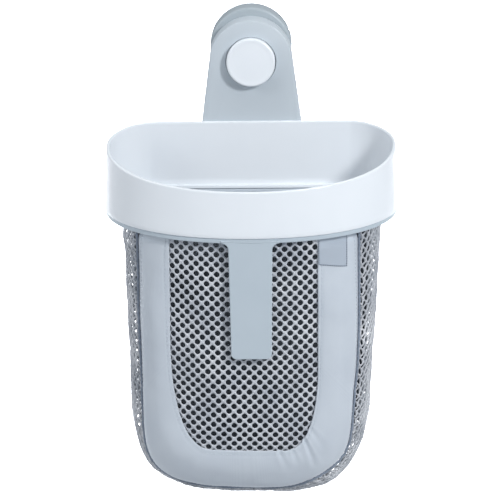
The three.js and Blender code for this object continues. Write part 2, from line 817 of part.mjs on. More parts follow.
// The window's edge, from the top left down, round and up to the top right. Its corners are taller than wide.
function windowEdge(margin) {
  const left = net.windowShift - net.windowHalfWidth - margin;
  const right = net.windowShift + net.windowHalfWidth + margin;
  const bottomZ = -windowBottomDrop - margin;
  const leftStart = bottomZ + net.leftCornerHeight + margin;
  const rightEnd = bottomZ + net.rightCornerHeight + margin;
  const leftWidth = net.leftCornerWidth + margin;
  const rightWidth = net.rightCornerWidth + margin;
  const straight = 1 - net.cornerFullness;
  const level = net.cornerFlatness;
  const leftKnee = bottomZ + (leftStart - bottomZ) * straight;
  const rightKnee = bottomZ + (rightEnd - bottomZ) * straight;
  const edge = new THREE.Path();
  edge.moveTo(left, -panelTopDrop);
  edge.lineTo(left, leftStart);
  edge.bezierCurveTo(left, leftKnee, left + leftWidth * (1 - level), bottomZ, left + leftWidth, bottomZ);
  edge.lineTo(right - rightWidth, bottomZ);
  edge.bezierCurveTo(right - rightWidth * (1 - level), bottomZ, right, rightKnee, right, rightEnd);
  edge.lineTo(right, -panelTopDrop);
  return edge.getPoints(facets.bend * 2);
}

// The bag hangs a little askew: going down, its outline swings to the left and rises on that side.
function hung(x, reach, z) {
  const fall = ((-panelTopDrop - z) / (bagBottomDrop - panelTopDrop)) ** 2;
  const swing = bag.footSwing * fall * gaugeAt(x, z) ** 2;
  return new THREE.Vector3(x - swing, -reach, z - bag.footTilt * fall * (x / bagHalf));
}

function frontSeamAt(stop) {
  const edge = outlinePoint(stop, 1);
  return bag.frontSeamShare - bag.frontSeamShift * (edge.x / bagHalfWidth(edge.y));
}

const bagMiddle = new THREE.Vector3(0, -bagWideReach, -(panelTopDrop + bag.curveDrop) / 2);

function frontPanel() {
  const opening = evenlySpaced(windowEdge(0), facets.bagOutline);
  const rows = outlineStops().map((stop, i) => {
    const seam = outlinePoint(stop, frontSeamAt(stop) - bag.seamClearance / 2 / bagHalf);
    const row = [];
    for (let j = 0; j <= facets.panelAcross; j += 1) {
      const point = new THREE.Vector2().lerpVectors(opening[i], seam, j / facets.panelAcross);
      row.push(hung(point.x, frontReachAt(point.x, point.y), point.y));
    }
    return row;
  });
  return sheetOf(rows, bag.cloth, bagMiddle);
}

// The strip round both sides and under the bag, from the front seam over the widest line to the back seam.
function gusset() {
  const rows = outlineStops().map((stop) =>
    gussetSection(frontSeamAt(stop)).map(([gauge, reach]) => {
      const point = outlinePoint(stop, gauge);
      return hung(point.x, reach, point.y);
    }),
  );
  return sheetOf(rows, bag.cloth, bagMiddle);
}

// Pairs of gauge and reach across the strip.
function gussetSection(frontSeam) {
  const stations = [];
  const frontEdge = frontSeam + bag.seamClearance / 2 / bagHalf;
  const backEdge = bag.backSeamShare + bag.seamClearance / 2 / bagHalf;
  const frontStart = Math.asin(frontEdge ** (bag.frontPower / 2));
  for (let i = 0; i <= facets.bagSection; i += 1) {
    const angle = frontStart + (Math.PI / 2 - frontStart) * (i / facets.bagSection);
    const forward = Math.max(Math.cos(angle), 0) ** (2 / bag.frontPower);
    stations.push([Math.sin(angle) ** (2 / bag.frontPower), bagWideReach + bagFrontDepth * forward]);
  }
  for (let i = 1; i <= facets.bagSection; i += 1) {
    const gauge = 1 - (1 - backEdge) * (i / facets.bagSection) ** 2;
    stations.push([gauge, backReachAt(gauge)]);
  }
  return stations;
}

// Each row of the back panel runs from a stop on the left of the U to the stop across from it.
function backPanel() {
  const edge = bag.backSeamShare - bag.seamClearance / 2 / bagHalf;
  const stops = outlineStops();
  const rows = [];
  for (let i = 0; i < facets.bagOutline / 2; i += 1) {
    const end = outlinePoint(stops[i], edge);
    const row = [];
    for (let j = 0; j <= facets.backColumns; j += 1) {
      const x = -end.x * Math.cos((Math.PI * j) / facets.backColumns);
      row.push(hung(-x, backReachAt(gaugeAt(x, end.y)), end.y));
    }
    rows.push(row);
  }
  return sheetOf(rows, bag.cloth, bagMiddle);
}

// The window's net: a flat sheet with staggered square gaps, bent to the bag's front behind the cloth.
function windowNet() {
  const outline = evenlySpaced(windowEdge(net.seamAllowance), facets.bagOutline);
  const shape = new THREE.Shape(outline);
  for (const [x, z] of netGaps()) shape.holes.push(gapPath(x, z));
  const flat = new THREE.ExtrudeGeometry(shape, { depth: net.thickness, bevelEnabled: false });
  flat.rotateX(Math.PI / 2);
  const places = flat.attributes.position;
  for (let i = 0; i < places.count; i += 1) {
    const [x, z] = [places.getX(i), places.getZ(i)];
    const reach = frontReachAt(x, z) - bag.cloth - net.setback - net.thickness;
    const place = hung(x, reach, z);
    places.setXYZ(i, place.x, places.getY(i) + place.y, place.z);
  }
  return flat;
}

function netGaps() {
  const gaps = [];
  const rise = net.pitch / 2;
  const reachOut = (net.pitch - net.thread) / 2;
  const room = windowEdge(net.thread - net.pitch / 2);
  const height = windowBottomDrop - panelTopDrop;
  for (let row = 1; row * rise < height - reachOut; row += 1) {
    const z = -panelTopDrop - row * rise;
    const offset = row % 2 ? net.pitch / 2 : 0;
    const count = Math.ceil(net.windowHalfWidth / net.pitch);
    for (let i = -count; i <= count; i += 1) {
      const x = net.windowShift + i * net.pitch + offset;
      if (insidePath(room, x, z)) gaps.push([x, z]);
    }
  }
  return gaps;
}

// Whether a place lies inside a closed line of points: it does if a level line to its right crosses it once, or
// any odd number of times.
function insidePath(points, x, z) {
  let inside = false;
  points.forEach((a, i) => {
    const b = points[(i + 1) % points.length];
    const crosses = a.y > z !== b.y > z && x < a.x + ((b.x - a.x) * (z - a.y)) / (b.y - a.y);
    if (crosses) inside = !inside;
  });
  return inside;
}

function gapPath(x, z) {
  const half = (net.pitch - net.thread) / 2;
  const path = new THREE.Path();
  path.moveTo(x + half, z);
  path.lineTo(x, z - half);
  path.lineTo(x - half, z);
  path.lineTo(x, z + half);
  return path;
}

function piece(name, geometry, material) {
  const mesh = new THREE.Mesh(geometry, material);
  mesh.name = name;
  return mesh;
}

function wallMount() {
  const group = new THREE.Group();
  group.add(piece('suction_cup', suctionCup(), softPlastic()));
  group.add(piece('mount_cap', mountCap(), greyPlastic()));
  group.add(piece('hanging_knob', hangingKnob(), whitePlastic()));
  knobScrewPlaces().forEach(([x, z], i) => {
    const geometry = screwGeometry(screw.knobLength, screw.headRadius, screw.headHeight);
    const mesh = piece(`knob_screw_${i + 1}`, geometry, steel());
    mesh.position.set(x, -(capPlateReach - touchClearance), z);
    group.add(mesh);
  });
  return group;
}

function scoop() {
  const group = new THREE.Group();
  group.add(piece('handle', handleShell(), greyPlastic()));
  group.add(piece('rim', rimBand(), whitePlastic()));
  group.add(piece('hoop', hoopWithTab(), greyPlastic()));
  const plateBack = handle.frontReach - handle.plate - touchClearance;
  const handleScrewLength = rimBackReach + rim.wall / 2 - plateBack;
  handleScrewPlaces().forEach(([x, z], i) => {
    const geometry = screwGeometry(handleScrewLength, handle.washerRadius, handle.washerHeight);
    const mesh = piece(`handle_screw_${i + 1}`, geometry, steel());
    mesh.position.set(x, -plateBack, z);
    group.add(mesh);
  });
  hoopScrewPlaces().forEach(([x, y], i) => {
    const geometry = screwGeometry(screw.hoopLength, screw.headRadius, screw.headHeight);
    const mesh = piece(`hoop_screw_${i + 1}`, geometry, steel());
    mesh.position.set(x, y, -hoopBottomDrop + hoop.counterbore - touchClearance);
    mesh.rotation.x = -Math.PI / 2;
    group.add(mesh);
  });
  group.add(toyBag());
  return group;
}

function toyBag() {
  const group = new THREE.Group();
  group.add(piece('bag_hem', hemTape(), greyCloth()));
  group.add(piece('front_panel', frontPanel(), greyCloth()));
  group.add(piece('window_net', windowNet(), netCloth()));
  group.add(piece('gusset', gusset(), netCloth()));
  group.add(piece('back_panel', backPanel(), darkMesh()));
  return group;
}

const organizer = new THREE.Group();
organizer.add(wallMount());
organizer.add(scoop());

export default organizer;
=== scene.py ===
import math

import bmesh
import bpy
import numpy as np
from mathutils import Matrix


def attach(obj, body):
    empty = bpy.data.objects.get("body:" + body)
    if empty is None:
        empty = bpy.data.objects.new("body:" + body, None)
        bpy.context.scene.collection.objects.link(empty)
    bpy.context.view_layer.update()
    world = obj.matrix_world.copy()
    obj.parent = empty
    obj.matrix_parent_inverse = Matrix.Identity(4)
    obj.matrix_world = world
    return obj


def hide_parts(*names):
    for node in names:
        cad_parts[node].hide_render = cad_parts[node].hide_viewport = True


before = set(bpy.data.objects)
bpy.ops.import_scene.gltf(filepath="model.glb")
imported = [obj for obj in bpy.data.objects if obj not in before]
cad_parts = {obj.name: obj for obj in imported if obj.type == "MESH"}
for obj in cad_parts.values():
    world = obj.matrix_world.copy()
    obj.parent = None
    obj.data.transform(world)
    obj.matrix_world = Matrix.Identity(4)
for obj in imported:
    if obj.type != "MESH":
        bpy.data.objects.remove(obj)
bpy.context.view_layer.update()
mm = 0.001
print("frame loaded,", len(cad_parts), "nodes")

# Small helpers


def unit(vectors):
    return vectors / (np.linalg.norm(vectors, axis=-1, keepdims=True) + 1e-12)


def linked(name, data):
    made = bpy.data.objects.new(name, data)
    bpy.context.collection.objects.link(made)
    return made


def stand(made, place, right, up, away):
    # puts a camera or lamp at a place in millimetres, looking the opposite way to away
    made.matrix_world = Matrix([[*row, 0] for row in zip(right, up, away)] + [[0, 0, 0, 1]])
    made.location = np.array(place) * mm


def linear(hexText):
    # sRGB hex to linear light, with a full alpha
    parts = [int(hexText[i : i + 2], 16) / 255 for i in (1, 3, 5)]
    return [p / 12.92 if p <= 0.04045 else ((p + 0.055) / 1.055) ** 2.4 for p in parts] + [1.0]


def fill(tree, node, inputs):
    # a value or a link for each named input
    for key, value in inputs.items():
        if isinstance(value, bpy.types.NodeSocket):
            tree.links.new(value, node.inputs[key])
        else:
            node.inputs[key].default_value = value


def add(tree, kind, settings=None, inputs=None):
    # adds one node, with its settings and inputs
    made = tree.nodes.new(kind)
    for key, value in (settings or {}).items():
        setattr(made, key, value)
    fill(tree, made, inputs or {})
    return made


def newMaterial(name, kind, look):
    # kind is one of the functions below that give the shader's inputs for a look
    made = bpy.data.materials.new(name)
    made.use_nodes = True
    tree = made.node_tree
    fill(tree, tree.nodes["Principled BSDF"], kind(tree, look))
    return made


# Camera and studio

camera = {
    "aim": (-1.79, -90.0, -162.39),
    "distance": 2400.0,
    "azimuth": 1.01,  # degrees to the right of straight ahead
    "elevation": 18.71,
    "roll": -0.70,
    "lens": 199.5,
    "sensor": 36,
}


def placeCamera(c):
    az, el, roll = (math.radians(c[key]) for key in ("azimuth", "elevation", "roll"))
    away = np.array([math.sin(az) * math.cos(el), -math.cos(az) * math.cos(el), math.sin(el)])
    right = unit(np.cross(-away, (0, 0, 1)))
    up = np.cross(right, -away)
    data = bpy.data.cameras.new("photoCamera")
    data.lens = c["lens"]
    data.sensor_width = c["sensor"]
    data.clip_end = 100
    made = linked("photoCamera", data)
    turnedRight = math.cos(roll) * right + math.sin(roll) * up
    turnedUp = math.cos(roll) * up - math.sin(roll) * right
    stand(made, np.array(c["aim"]) + c["distance"] * away, turnedRight, turnedUp, away)
    bpy.context.scene.camera = made


studio = {
    "floorDrop": 720,
    "floorHalf": 15000,
    "floorColour": "#CDCFD2",
    "worldColour": "#F4F9FF",
    "worldStrength": 0.46,
    # name, place, where it points, size of the square lamp, watts, spread in degrees; the last one lights the
    # floor behind the object and, being narrow, leaves the object alone
    "lamps": [
        ("keyLamp", (1100, -1390, 900), (0, -90, -170), 300, 23, 180),
        ("fillLamp", (-1700, -700, 850), (0, -90, -170), 900, 10.5, 180),
        ("topLamp", (0, -350, 1500), (0, -90, -170), 1000, 3.5, 180),
        ("bounceLamp", (-300, -900, -1300), (0, -90, -170), 1200, 4.5, 180),
        ("floorLamp", (0, 2150, 900), (0, 2150, -720), 2600, 150, 80),
    ],
}


def mattPaper(tree, look):
    # matt studio paper: one even pale grey without any shine
    return {"Roughness": 0.9, "Base Color": linear(look["colour"])}


def buildStudio(s):
    half, drop = s["floorHalf"] * mm, -s["floorDrop"] * mm
    mesh = bpy.data.meshes.new("paleFloor")
    corners = [(-half, -half, drop), (half, -half, drop), (half, half, drop), (-half, half, drop)]
    mesh.from_pydata(corners, [], [(0, 1, 2, 3)])
    mesh.materials.append(newMaterial("mattStudioPaper", mattPaper, {"colour": s["floorColour"]}))
    linked("paleFloor", mesh)
    world = bpy.data.worlds.new("softRoom")
    world.use_nodes = True
    light = world.node_tree.nodes["Background"]
    fill(world.node_tree, light, {"Color": linear(s["worldColour"]), "Strength": s["worldStrength"]})
    bpy.context.scene.world = world
    for name, place, target, size, watts, spread in s["lamps"]:
        data = bpy.data.lights.new(name, "AREA")
        data.size = size * mm
        data.energy = watts
        data.spread = math.radians(spread)
        away = unit(np.array(place) - np.array(target))
        side = unit(np.cross((0, 1, 0), away))
        stand(linked(name, data), place, side, np.cross(away, side), away)


placeCamera(camera)
buildStudio(studio)
bpy.context.scene.view_settings.view_transform = "Standard"
print("camera and studio placed")

# Materials


def perMetre(size):
    # how many features of that size, in millimetres, fit in a metre
    return 1000 / size


def noise(tree, size, detail):
    place = add(tree, "ShaderNodeTexCoord").outputs["Object"]
    inputs = {"Vector": place, "Scale": perMetre(size), "Detail": detail}
    return add(tree, "ShaderNodeTexNoise", None, inputs).outputs["Fac"]


def maths(tree, operation, *values):
    return add(tree, "ShaderNodeMath", {"operation": operation}, dict(enumerate(values))).outputs[0]


def spread(tree, value, ends):
    return add(tree, "ShaderNodeMapRange", None, {"Value": value, **ends}).outputs["Result"]


def blend(tree, share, first, second):
    return add(tree, "ShaderNodeMix", {"data_type": "RGBA"}, {0: share, 6: first, 7: second}).outputs[2]


def tint(tree, share, look):
    return blend(tree, share, linear(look["dark"]), linear(look["light"]))


def relief(tree, height, strength, depth, sunk=False):
    inputs = {"Height": height, "Strength": strength, "Distance": depth * mm}
    return add(tree, "ShaderNodeBump", {"invert": sunk}, inputs).outputs["Normal"]


def threads(tree, pitch, inputs):
    # bands both ways over the flat cloth, multiplied; a wave texture's band is pi/10 units wide at scale 1
    flat = add(tree, "ShaderNodeUVMap", {"uv_map": "cloth"}).outputs["UV"]
    inputs = {"Vector": flat, "Scale": math.pi / 10 * perMetre(pitch), **inputs}
    waves = [
        add(tree, "ShaderNodeTexWave", {"wave_type": "BANDS", "bands_direction": way}, inputs).outputs["Fac"]
        for way in ("X", "Y")
    ]
    return maths(tree, "MULTIPLY", *waves)


def mouldedPlastic(tree, look):
    # injection-moulded ABS or polypropylene: one even colour, a satin skin with a faint orange peel
    scuffs = {"To Min": look["rough"] - 0.05, "To Max": look["rough"] + 0.06}
    return {
        "IOR": look["ior"],
        "Coat Weight": look["coat"],
        "Coat Roughness": 0.18,
        "Base Color": tint(tree, noise(tree, 45, 2.0), look),
        "Roughness": spread(tree, noise(tree, 9, 4.0), scuffs),
        "Normal": relief(tree, noise(tree, 1.4, 2.0), look["peel"], 0.05),
    }


def softVinyl(tree, look):
    # grey soft PVC of the suction cup: cloudy, smooth, with a wet-looking shine that hides its slight depth
    cloudy = tint(tree, noise(tree, 14, 3.0), look)
    return {"IOR": 1.53, "Roughness": 0.26, "Coat Weight": 0.2, "Base Color": cloudy}


def wovenPolyester(tree, look):
    # plain-woven polyester lining: a fine square weave, dull, with a faint sheen at glancing angles; the real
    # threads of 0.35 mm are drawn wider, to show
    weave = threads(tree, look["thread"], {"Distortion": 0.35, "Detail": 1.0})
    mottle = maths(tree, "MULTIPLY_ADD", weave, 0.25, noise(tree, 38, 3.0))
    return {
        "IOR": 1.5,
        "Roughness": 0.82,
        "Sheen Weight": 0.3,
        "Sheen Roughness": 0.4,
        "Base Color": tint(tree, mottle, look),
        "Normal": relief(tree, weave, look["relief"], 0.12),
    }


def knittedNet(tree, look):
    # warp-knitted polyester net, and thread: twisted yarn whose crowns are painted lighter and furrows darker,
    # as painted highlight and shade
    yarn = noise(tree, 0.9, 2.0)
    # the bump's own noise tints the colour: painted highlight on the crowns, painted shade in the furrows,
    # plus a larger random mottle
    mottle = maths(tree, "MULTIPLY_ADD", yarn, 0.6, noise(tree, 30, 2.0))
    return {
        "IOR": 1.5,
        "Roughness": 0.7,
        "Sheen Weight": 0.2,
        "Sheen Roughness": 0.4,
        "Base Color": tint(tree, spread(tree, mottle, {"From Min": 0.45, "From Max": 1.15}), look),
        "Normal": relief(tree, yarn, 0.5, 0.2),
    }


def knittedMesh(tree, look):
    # closely knitted polyester mesh: dull yarn with rows of tiny openings, too small to see through; its dark
    # yarn and darker openings are painted shade of the bag's dim inside
    both = threads(tree, look["pitch"], {})
    opening = spread(tree, both, {"From Min": 0.35, "From Max": 0.6})
    yarn = tint(tree, noise(tree, 25, 3.0), look)
    return {
        "IOR": 1.5,
        "Roughness": 0.85,
        "Sheen Weight": 0.2,
        "Sheen Roughness": 0.4,
        "Base Color": blend(tree, opening, yarn, linear(look["opening"])),
        "Normal": relief(tree, both, 0.6, 0.3, True),
    }


def zincPlatedSteel(tree, look):
    # zinc-plated screw: bright grey metal with a fine turned grain
    grain = noise(tree, 0.5, 3.0)
    return {
        "Metallic": 1.0,
        "Base Color": tint(tree, grain, look),
        "Roughness": spread(tree, grain, {"To Min": 0.25, "To Max": 0.42}),
    }


whitePolypropylene = newMaterial(
    "whitePolypropylene",
    mouldedPlastic,
    {"dark": "#E7EDF3", "light": "#EEF3F8", "rough": 0.38, "ior": 1.49, "coat": 0.12, "peel": 0.12},
)
satinAbs = {"rough": 0.42, "ior": 1.53, "coat": 0.08, "peel": 0.15}
greyAbs = newMaterial("greyAbs", mouldedPlastic, {"dark": "#C1CBD3", "light": "#CAD3DA", **satinAbs})
# a darker copy of the grey ABS for the hoop and tab: painted shade of the rim above them
shadedGreyAbs = newMaterial("shadedCopyGreyAbs", mouldedPlastic, {"dark": "#B7C4CE", "light": "#C0CCD5", **satinAbs})
# a still darker copy of the grey ABS for the mount cap: painted shade from the tongue in front of it
capShadedAbs = newMaterial("capShadedGreyAbs", mouldedPlastic, {"dark": "#A5B0B8", "light": "#ADB8BE", **satinAbs})
greyVinyl = newMaterial("greySoftVinyl", softVinyl, {"dark": "#ABB7C1", "light": "#BAC4CC"})
greyWeave = newMaterial(
    "greyWovenPolyester",
    wovenPolyester,
    {"dark": "#BCC5D0", "light": "#CFD7DF", "thread": 0.9, "relief": 0.35},
)
labelWeave = newMaterial(
    "darkWovenLabel", wovenPolyester, {"dark": "#A3AEBC", "light": "#B4BEC9", "thread": 0.9, "relief": 0.5}
)
tapeWeave = newMaterial(
    "greyWovenTape", wovenPolyester, {"dark": "#AEB8C3", "light": "#C0C9D2", "thread": 1.2, "relief": 0.6}
)
netYarn = newMaterial("paleKnittedNet", knittedNet, {"dark": "#A6ADB8", "light": "#DDE0E5"})
# a copy of the net for the side strips, with darker dark yarn and whiter light yarn: painted shade of the
# bag's inside and painted highlights
litAndShadedSideYarn = newMaterial("litAndShadedKnittedNet", knittedNet, {"dark": "#8A919B", "light": "#E6E8EC"})
# the back mesh's dark colours are painted shade: they stand in for the shade inside the bag
shadeDarkBackMesh = newMaterial(
    "paintedShadeKnittedMesh",
    knittedMesh,
    {"dark": "#3A4047", "light": "#4D545C", "opening": "#23262B", "pitch": 2.4},
)
sewingThread = newMaterial("greySewingThread", knittedNet, {"dark": "#AFB9C5", "light": "#D0D7DF"})
# dark slate thread: on the label it is the stitching's own colour; on the front seam's cord its darkness is
# painted shade of the seam's recess
slateThreadAndSeamShade = newMaterial("slateSewingThreadSeamShade", knittedNet, {"dark": "#76808F", "light": "#919BAA"})
zincSteel = newMaterial("zincPlatedSteel", zincPlatedSteel, {"dark": "#A4A8AD", "light": "#C6C9CC"})
print("materials made")

# Meshes from arrays

weldDistance = 0.001  # points nearer than this are one


def smoothFaces(mesh):
    mesh.polygons.foreach_set("use_smooth", np.ones(len(mesh.polygons), bool))


def meshFrom(name, vertices, quads, uv=None):
    # vertices in millimetres, quads as an array of four indices each, uv one pair for each vertex
    mesh = bpy.data.meshes.new(name)
    mesh.vertices.add(len(vertices))
    mesh.vertices.foreach_set("co", (np.asarray(vertices, float) * mm).ravel())
    mesh.loops.add(quads.size)
    mesh.loops.foreach_set("vertex_index", quads.ravel())
    mesh.polygons.add(len(quads))
    mesh.polygons.foreach_set("loop_start", np.arange(0, quads.size, 4))
    mesh.update(calc_edges=True)
    if uv is not None:
        layer = mesh.uv_layers.new(name="cloth")
        layer.data.foreach_set("uv", (np.asarray(uv, float) * mm)[quads.ravel()].ravel())
    mesh.validate()
    smoothFaces(mesh)
    return linked(name, mesh)


def gridQuads(rows, columns, closeRows=False, closeColumns=False):
    i = np.arange(rows if closeRows else rows - 1)[:, None]
    j = np.arange(columns if closeColumns else columns - 1)[None, :]
    down = (i + 1) % rows
    right = (j + 1) % columns
    corners = [i * columns + j, i * columns + right, down * columns + right, down * columns + j]
    return np.stack(corners, axis=-1).reshape(-1, 4)


def faceOut(made, closeEnds=False):
    # joins points that coincide, closes open ends if asked to, and turns every face away from the middle
    work = bmesh.new()
    work.from_mesh(made.data)
    bmesh.ops.remove_doubles(work, verts=work.verts, dist=weldDistance * mm)
    bmesh.ops.dissolve_degenerate(work, edges=work.edges, dist=weldDistance * mm)
    if closeEnds:
        bmesh.ops.holes_fill(work, edges=[edge for edge in work.edges if edge.is_boundary], sides=0)
    bmesh.ops.recalc_face_normals(work, faces=work.faces)
    work.to_mesh(made.data)
    work.free()
    return made


def faceFrom(made, inside):
    # for an open sheet: flips it if its faces look towards the inside point
    mesh = made.data
    centres = np.empty(len(mesh.polygons) * 3)
    normals = np.empty(len(mesh.polygons) * 3)
    mesh.polygons.foreach_get("center", centres)
    mesh.polygons.foreach_get("normal", normals)
    outward = centres.reshape(-1, 3) - np.array(inside) * mm
    if np.sum(outward * normals.reshape(-1, 3)) < 0:
        mesh.flip_normals()
    return made


def dress(made, material, body, stands=()):
    made.data.materials.clear()
    made.data.materials.append(material)
    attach(made, body)
    if stands:
        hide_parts(*stands)
    return made


def smoothRandom(u, v, size, seed):
    # a gentle unevenness between about -1 and 1: sines in random directions, finer and weaker by turns
    random = np.random.default_rng(seed)
    total = np.zeros_like(u)
    for octave in range(3):
        for _ in range(5):
            turn, phase = random.uniform(0, 2 * np.pi, 2)
            wave = size * random.uniform(0.7, 1.4) / 2**octave
            along = u * math.cos(turn) + v * math.sin(turn)
            total += np.sin(2 * np.pi * along / wave + phase) / 2**octave
    return total / 5


def alongPath(points):
    # how far along a path each of its points lies
    steps = np.linalg.norm(np.diff(points, axis=0), axis=1)
    return np.concatenate([[0], np.cumsum(steps)])


def between(wanted, known, rows):
    # rows of coordinates that are known at some places, read at other places in between
    return np.stack([np.interp(wanted, known, column) for column in rows.T], axis=-1)


def fullTurn(steps):
    return np.linspace(0, 2 * np.pi, steps, endpoint=False)


# Finished copies of the CAD pieces whose shape is already right

copies = {"weld": 0.002, "flat": 0.4, "sharp": 38}  # join distance, angle that is still flat, angle of an edge


def finishedCopy(name, nodeName, bevel):
    work = bmesh.new()
    work.from_mesh(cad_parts[nodeName].data)
    bmesh.ops.remove_doubles(work, verts=work.verts, dist=copies["weld"] * mm)
    flat, sharp = math.radians(copies["flat"]), math.radians(copies["sharp"])
    bmesh.ops.dissolve_limit(work, angle_limit=flat, verts=work.verts, edges=work.edges)
    corners = [tuple(v.co) for v in work.verts]
    work.verts.index_update()
    faces = [[v.index for v in face.verts] for face in work.faces]
    work.free()
    mesh = bpy.data.meshes.new(name)
    mesh.from_pydata(corners, [], faces)
    smoothFaces(mesh)
    mesh.set_sharp_from_angle(angle=sharp)
    made = linked(name, mesh)
    edge = made.modifiers.new("moulded edges", "BEVEL")
    edge.width = bevel * mm
    edge.segments = 2
    edge.limit_method = "ANGLE"
    edge.angle_limit = sharp
    edge.harden_normals = True
    return made


cup = finishedCopy("suctionCup", "suction_cup", 0.25)
dress(cup, greyVinyl, "wall_mount", ["suction_cup"])
dress(finishedCopy("mountCap", "mount_cap", 0.3), capShadedAbs, "wall_mount", ["mount_cap"])
dress(finishedCopy("tongue", "handle", 0.3), greyAbs, "scoop", ["handle"])
for nodeName in sorted(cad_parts):
    if "_screw_" in nodeName:
        holder, _, number = nodeName.split("_")
        screw = finishedCopy(f"{holder}Screw{number}", nodeName, 0.12)
        dress(screw, zincSteel, "wall_mount" if holder == "knob" else "scoop", [nodeName])
print("mount, tongue and screws finished")

# The knob: a profile turned about the peg's tilted axis

knob = {
    "radius": 21.2,
    "face": 26.1,  # length from the cap to the front
    "sideStops": (0.0, 12.0, 22.0),
    "round": 1.8,
    "dish": 0.35,  # the face sinks this much inside its rounded edge
    "dishEdge": 2.5,
    "tilt": 5.0,
    "seat": 19.5,  # where the turned axis starts
    "back": 19.8,  # flat against the cap
    "drop": 9.27,
    "steps": 160,
    "inside": (0, -30, -8),
}


def makeKnob(k):
    # radius and distance along the axis: side, quarter-round edge, then a shallow dish to the middle
    arc = np.linspace(0, np.pi / 2, 9)
    flatRadius = k["radius"] - k["round"]
    inner = flatRadius * np.linspace(1, 0, 12)[1:]
    fall = np.clip((flatRadius - inner) / k["dishEdge"], 0, 1)
    edge = k["face"] - k["round"] * (1 - np.sin(arc))
    dish = k["face"] - k["dish"] * (3 * fall**2 - 2 * fall**3)
    radius = np.concatenate([np.full(3, k["radius"]), flatRadius + k["round"] * np.cos(arc), inner])
    along = np.concatenate([k["sideStops"], edge, dish])
    turn = fullTurn(k["steps"])[:, None]
    x, up = radius * np.cos(turn), radius * np.sin(turn)
    tilt = math.radians(k["tilt"])
    y = np.minimum(-k["seat"] - along * math.cos(tilt) + up * math.sin(tilt), -k["back"])
    z = -k["drop"] + along * math.sin(tilt) + up * math.cos(tilt)
    made = meshFrom("hangingKnob", np.stack([x, y, z], -1).reshape(-1, 3), gridQuads(*x.shape, True))
    return faceFrom(faceOut(made), k["inside"])


dress(makeKnob(knob), whitePolypropylene, "wall_mount", ["hanging_knob"])
print("knob made")

# The rim and the hoop: sections carried round a D

plan = {"front": 240, "corner": 90, "back": 30, "stops": 420}  # points of each stretch, and stops all round

rim = {
    "half": 127.0,
    "flat": 86.0,
    "wide": 82.0,
    "front": 98.0,
    "back": 44.2,
    "frontPower": 2.12,
    "cornerPower": 1.9,
    "bottom": 122.6,
    "backTop": 60.7,
    "backReach": 37.8,
    "slope": 0.153,
    "flare": 0.053,
    "turnOver": 10,  # the walls' lean turns from the sides to the front over this reach
    "wall": 2.8,
    "ledge": 2.4,
    "hemRoom": 2.2,
    "foot": 0.7,
    "filletTop": 2.0,
    "fillet": [(0.15, 1.1), (0.6, 0.3), (1.8, 0.0)],  # distance from the wall, height over the ledge
    "edge": [(0.5, 0.0), (0.12, -0.12), (0.0, -0.5)],  # distance short of the mouth, height
}

mouth = {
    "half": 112.6,
    "flat": 85.12,
    "wide": 88.0,
    "front": 86.6,
    "back": 43.6,
    "frontPower": 2.3,
    "cornerPower": 1.5,
}


def planOutline(d, side=0.0):
    # from the front's middle: a superellipse to the widest point, a tighter one to the flat back, its mirror
    half, front, back = d["half"] + side, d["front"] + side, d["back"] + side
    flat = d["flat"]
    a = np.linspace(0, np.pi / 2, plan["front"])
    b = np.linspace(0, np.pi / 2, plan["corner"])[1:]
    x = half * np.sin(a) ** (2 / d["frontPower"])
    y = -d["wide"] - front * np.clip(np.cos(a), 0, 1) ** (2 / d["frontPower"])
    cornerX = flat + (half - flat) * np.clip(np.cos(b), 0, 1) ** (2 / d["cornerPower"])
    cornerY = -d["wide"] + back * np.sin(b) ** (2 / d["cornerPower"])
    flatX = flat * (1 - np.linspace(0, 1, plan["back"])[1:])
    across = np.concatenate([x, cornerX, flatX])
    right = np.stack([across, np.concatenate([y, cornerY, np.full(len(flatX), cornerY[-1])])], 1)
    return np.vstack([right, right[-2:0:-1] * (-1, 1)])


def inwardNormals(points):
    along = unit(np.roll(points, -1, 0) - np.roll(points, 1, 0))
    return np.stack([-along[:, 1], along[:, 0]], axis=1)


def stopsRound(outline):
    # stops at even steps round an outline, their inward normals and how far the mouth lies from each
    closed = np.vstack([outline, outline[:1]])
    order = np.arange(len(closed))
    measure = alongPath(closed)
    stops = np.interp(np.linspace(0, measure[-1], plan["stops"], endpoint=False), measure, order)
    foot = between(stops, order, closed)
    inner = planOutline(mouth)
    reach = np.linalg.norm(between(stops, order, np.vstack([inner, inner[:1]])) - foot, axis=1, keepdims=True)
    return foot, inwardNormals(foot), reach


def arcPoints(count, start, end):
    angle = np.linspace(math.radians(start), math.radians(end), count)
    return np.cos(angle), np.sin(angle)


def ring(name, foot, normals, steps):
    # a section carried round the stops; its steps are pairs of inset and height, each a number or a table
    # with one row for each stop
    pairs = [np.broadcast_arrays(foot[:, :1], *step)[1:] for step in steps]
    insets, heights = (np.hstack(part) for part in zip(*pairs))
    x, y = (foot[:, k : k + 1] + normals[:, k : k + 1] * insets for k in (0, 1))
    points = np.stack([x, y, heights], axis=-1)
    return faceOut(meshFrom(name, points.reshape(-1, 3), gridQuads(*x.shape, True, True)))


